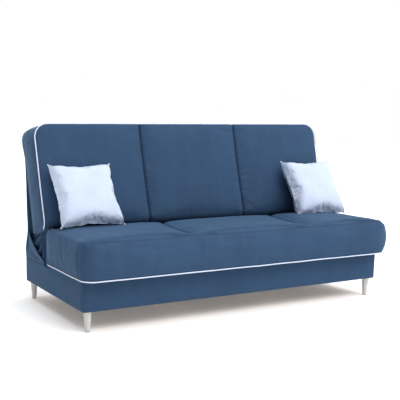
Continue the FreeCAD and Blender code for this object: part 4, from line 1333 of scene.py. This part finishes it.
@dataclass
class Studio:
    """Pale floor, soft light and the camera."""
    camera_at: Vector = field(default_factory=lambda: Vector((-2.2103, -3.4286, 0.9762)))
    yaw: float = 0.4571
    pitch: float = 0.1772
    lens: float = 64.15
    shift: tuple[float, float] = (0.190, 0.138)

    def camera(self) -> None:
        """Puts the camera at its place."""
        data = bpy.data.cameras.new("Camera")
        data.lens, data.sensor_width, data.sensor_fit = self.lens, 36.0, "HORIZONTAL"
        data.shift_x, data.shift_y = self.shift
        seen = bpy.data.objects.new("Camera", data)
        level = math.cos(self.pitch)
        ahead = Vector((math.sin(self.yaw) * level, math.cos(self.yaw) * level, -math.sin(self.pitch)))
        seen.location = self.camera_at
        seen.rotation_mode = "QUATERNION"
        seen.rotation_quaternion = ahead.to_track_quat("-Z", "Y")
        bpy.context.scene.collection.objects.link(seen)
        bpy.context.scene.camera = seen

    def floor(self) -> None:
        """Lays the pale floor."""
        corners = np.array([[-30, -30, 0], [30, -30, 0], [30, 30, 0], [-30, 30, 0]], float)
        floor = make_object("floor", corners, [(0, 1, 2, 3)])
        paint = bpy.data.materials.new("Pale floor")
        paint.use_nodes = True
        n = Nodes(paint.node_tree)
        where = n.add("ShaderNodeTexCoord").outputs["Object"]
        tint = n.mix(n.noise(where, 1.5, 2.0), colour((0.90, 0.90, 0.90)), colour((0.93, 0.93, 0.93)))
        shader = n.add("ShaderNodeBsdfPrincipled", {
            "Base Color": tint, "Roughness": 0.8, "Specular IOR Level": 0.1,
            "Emission Color": (1, 1, 1, 1), "Emission Strength": 0.14})
        n.link(shader.outputs[0], n.add("ShaderNodeOutputMaterial").inputs[0])
        floor.data.materials.append(paint)

    def sky(self) -> None:
        """Sets the pale surroundings, darker on one side."""
        world = bpy.context.scene.world or bpy.data.worlds.new("World")
        bpy.context.scene.world = world
        world.use_nodes = True
        n = Nodes(world.node_tree)
        way = n.add("ShaderNodeTexCoord").outputs["Generated"]
        aside = n.add("ShaderNodeVectorMath", {0: way, 1: (-0.92, -0.35, 0.1)},
                      operation="DOT_PRODUCT").outputs["Value"]
        tone = n.mix(n.ramp(aside, 0.0, 0.55), (1, 1, 1, 1), (0.35, 0.36, 0.38, 1))
        sky = n.add("ShaderNodeBackground", {"Color": tone, "Strength": 1.0})
        n.link(sky.outputs[0], n.add("ShaderNodeOutputWorld").inputs[0])
        bpy.context.scene.view_settings.view_transform = "Standard"

    def lamp(self, name: str, kind: str, power: float) -> bpy.types.Object:
        """Adds one lamp.

        Args:
            name: The lamp's name.
            kind: Its type.
            power: Its strength in the type's own unit.

        Returns:
            The lamp, not yet placed.
        """
        data = bpy.data.lights.new(name, kind)
        data.energy = power
        lamp = bpy.data.objects.new(name, data)
        bpy.context.scene.collection.objects.link(lamp)
        return lamp

    def build(self) -> None:
        """Makes the floor, the sky and the lights."""
        self.floor()
        self.sky()
        key = self.lamp("Key", "AREA", 27.0)
        key.data.shape, key.data.size, key.data.size_y = "RECTANGLE", 3.0, 2.0
        key.location = (1.6, -3.2, 3.0)
        key.rotation_euler = (Vector((0, 0, 0.4)) - key.location).to_track_quat("-Z", "Y").to_euler()
        daylight = self.lamp("Sky light", "SUN", 2.8)
        daylight.data.angle = math.radians(70)
        daylight.rotation_euler = (math.radians(22), math.radians(10), 0)


def main() -> None:
    """Builds the sofa bed round its frame."""
    low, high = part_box("crease_pins")
    hinge = Vector((0.0, (low[1] + high[1]) / 2, (low[2] + high[2]) / 2))
    studio = Studio()
    studio.camera()
    wardrobe = Wardrobe()
    wardrobe.dress_frame()
    trimmer = Trimmer(wardrobe)
    Seat(wardrobe, trimmer, hinge).build()
    Back(wardrobe, trimmer, hinge).build()
    Cushion(wardrobe, trimmer, "pillow_left", "cushion_left", 1.0, 11.0, (0.004, 0.0, -0.012)).build()
    Cushion(wardrobe, trimmer, "pillow_right", "cushion_right", 0.0, 12.0, (0.022, -0.028, -0.026)).build()
    Box(wardrobe, trimmer, hinge).build()
    for side, name in SIDES:
        Gusset(wardrobe, hinge, side, name).build()
    studio.build()


if __name__ == "__main__":
    logging.basicConfig(level=logging.INFO, format="%(name)s: %(message)s")
    main()
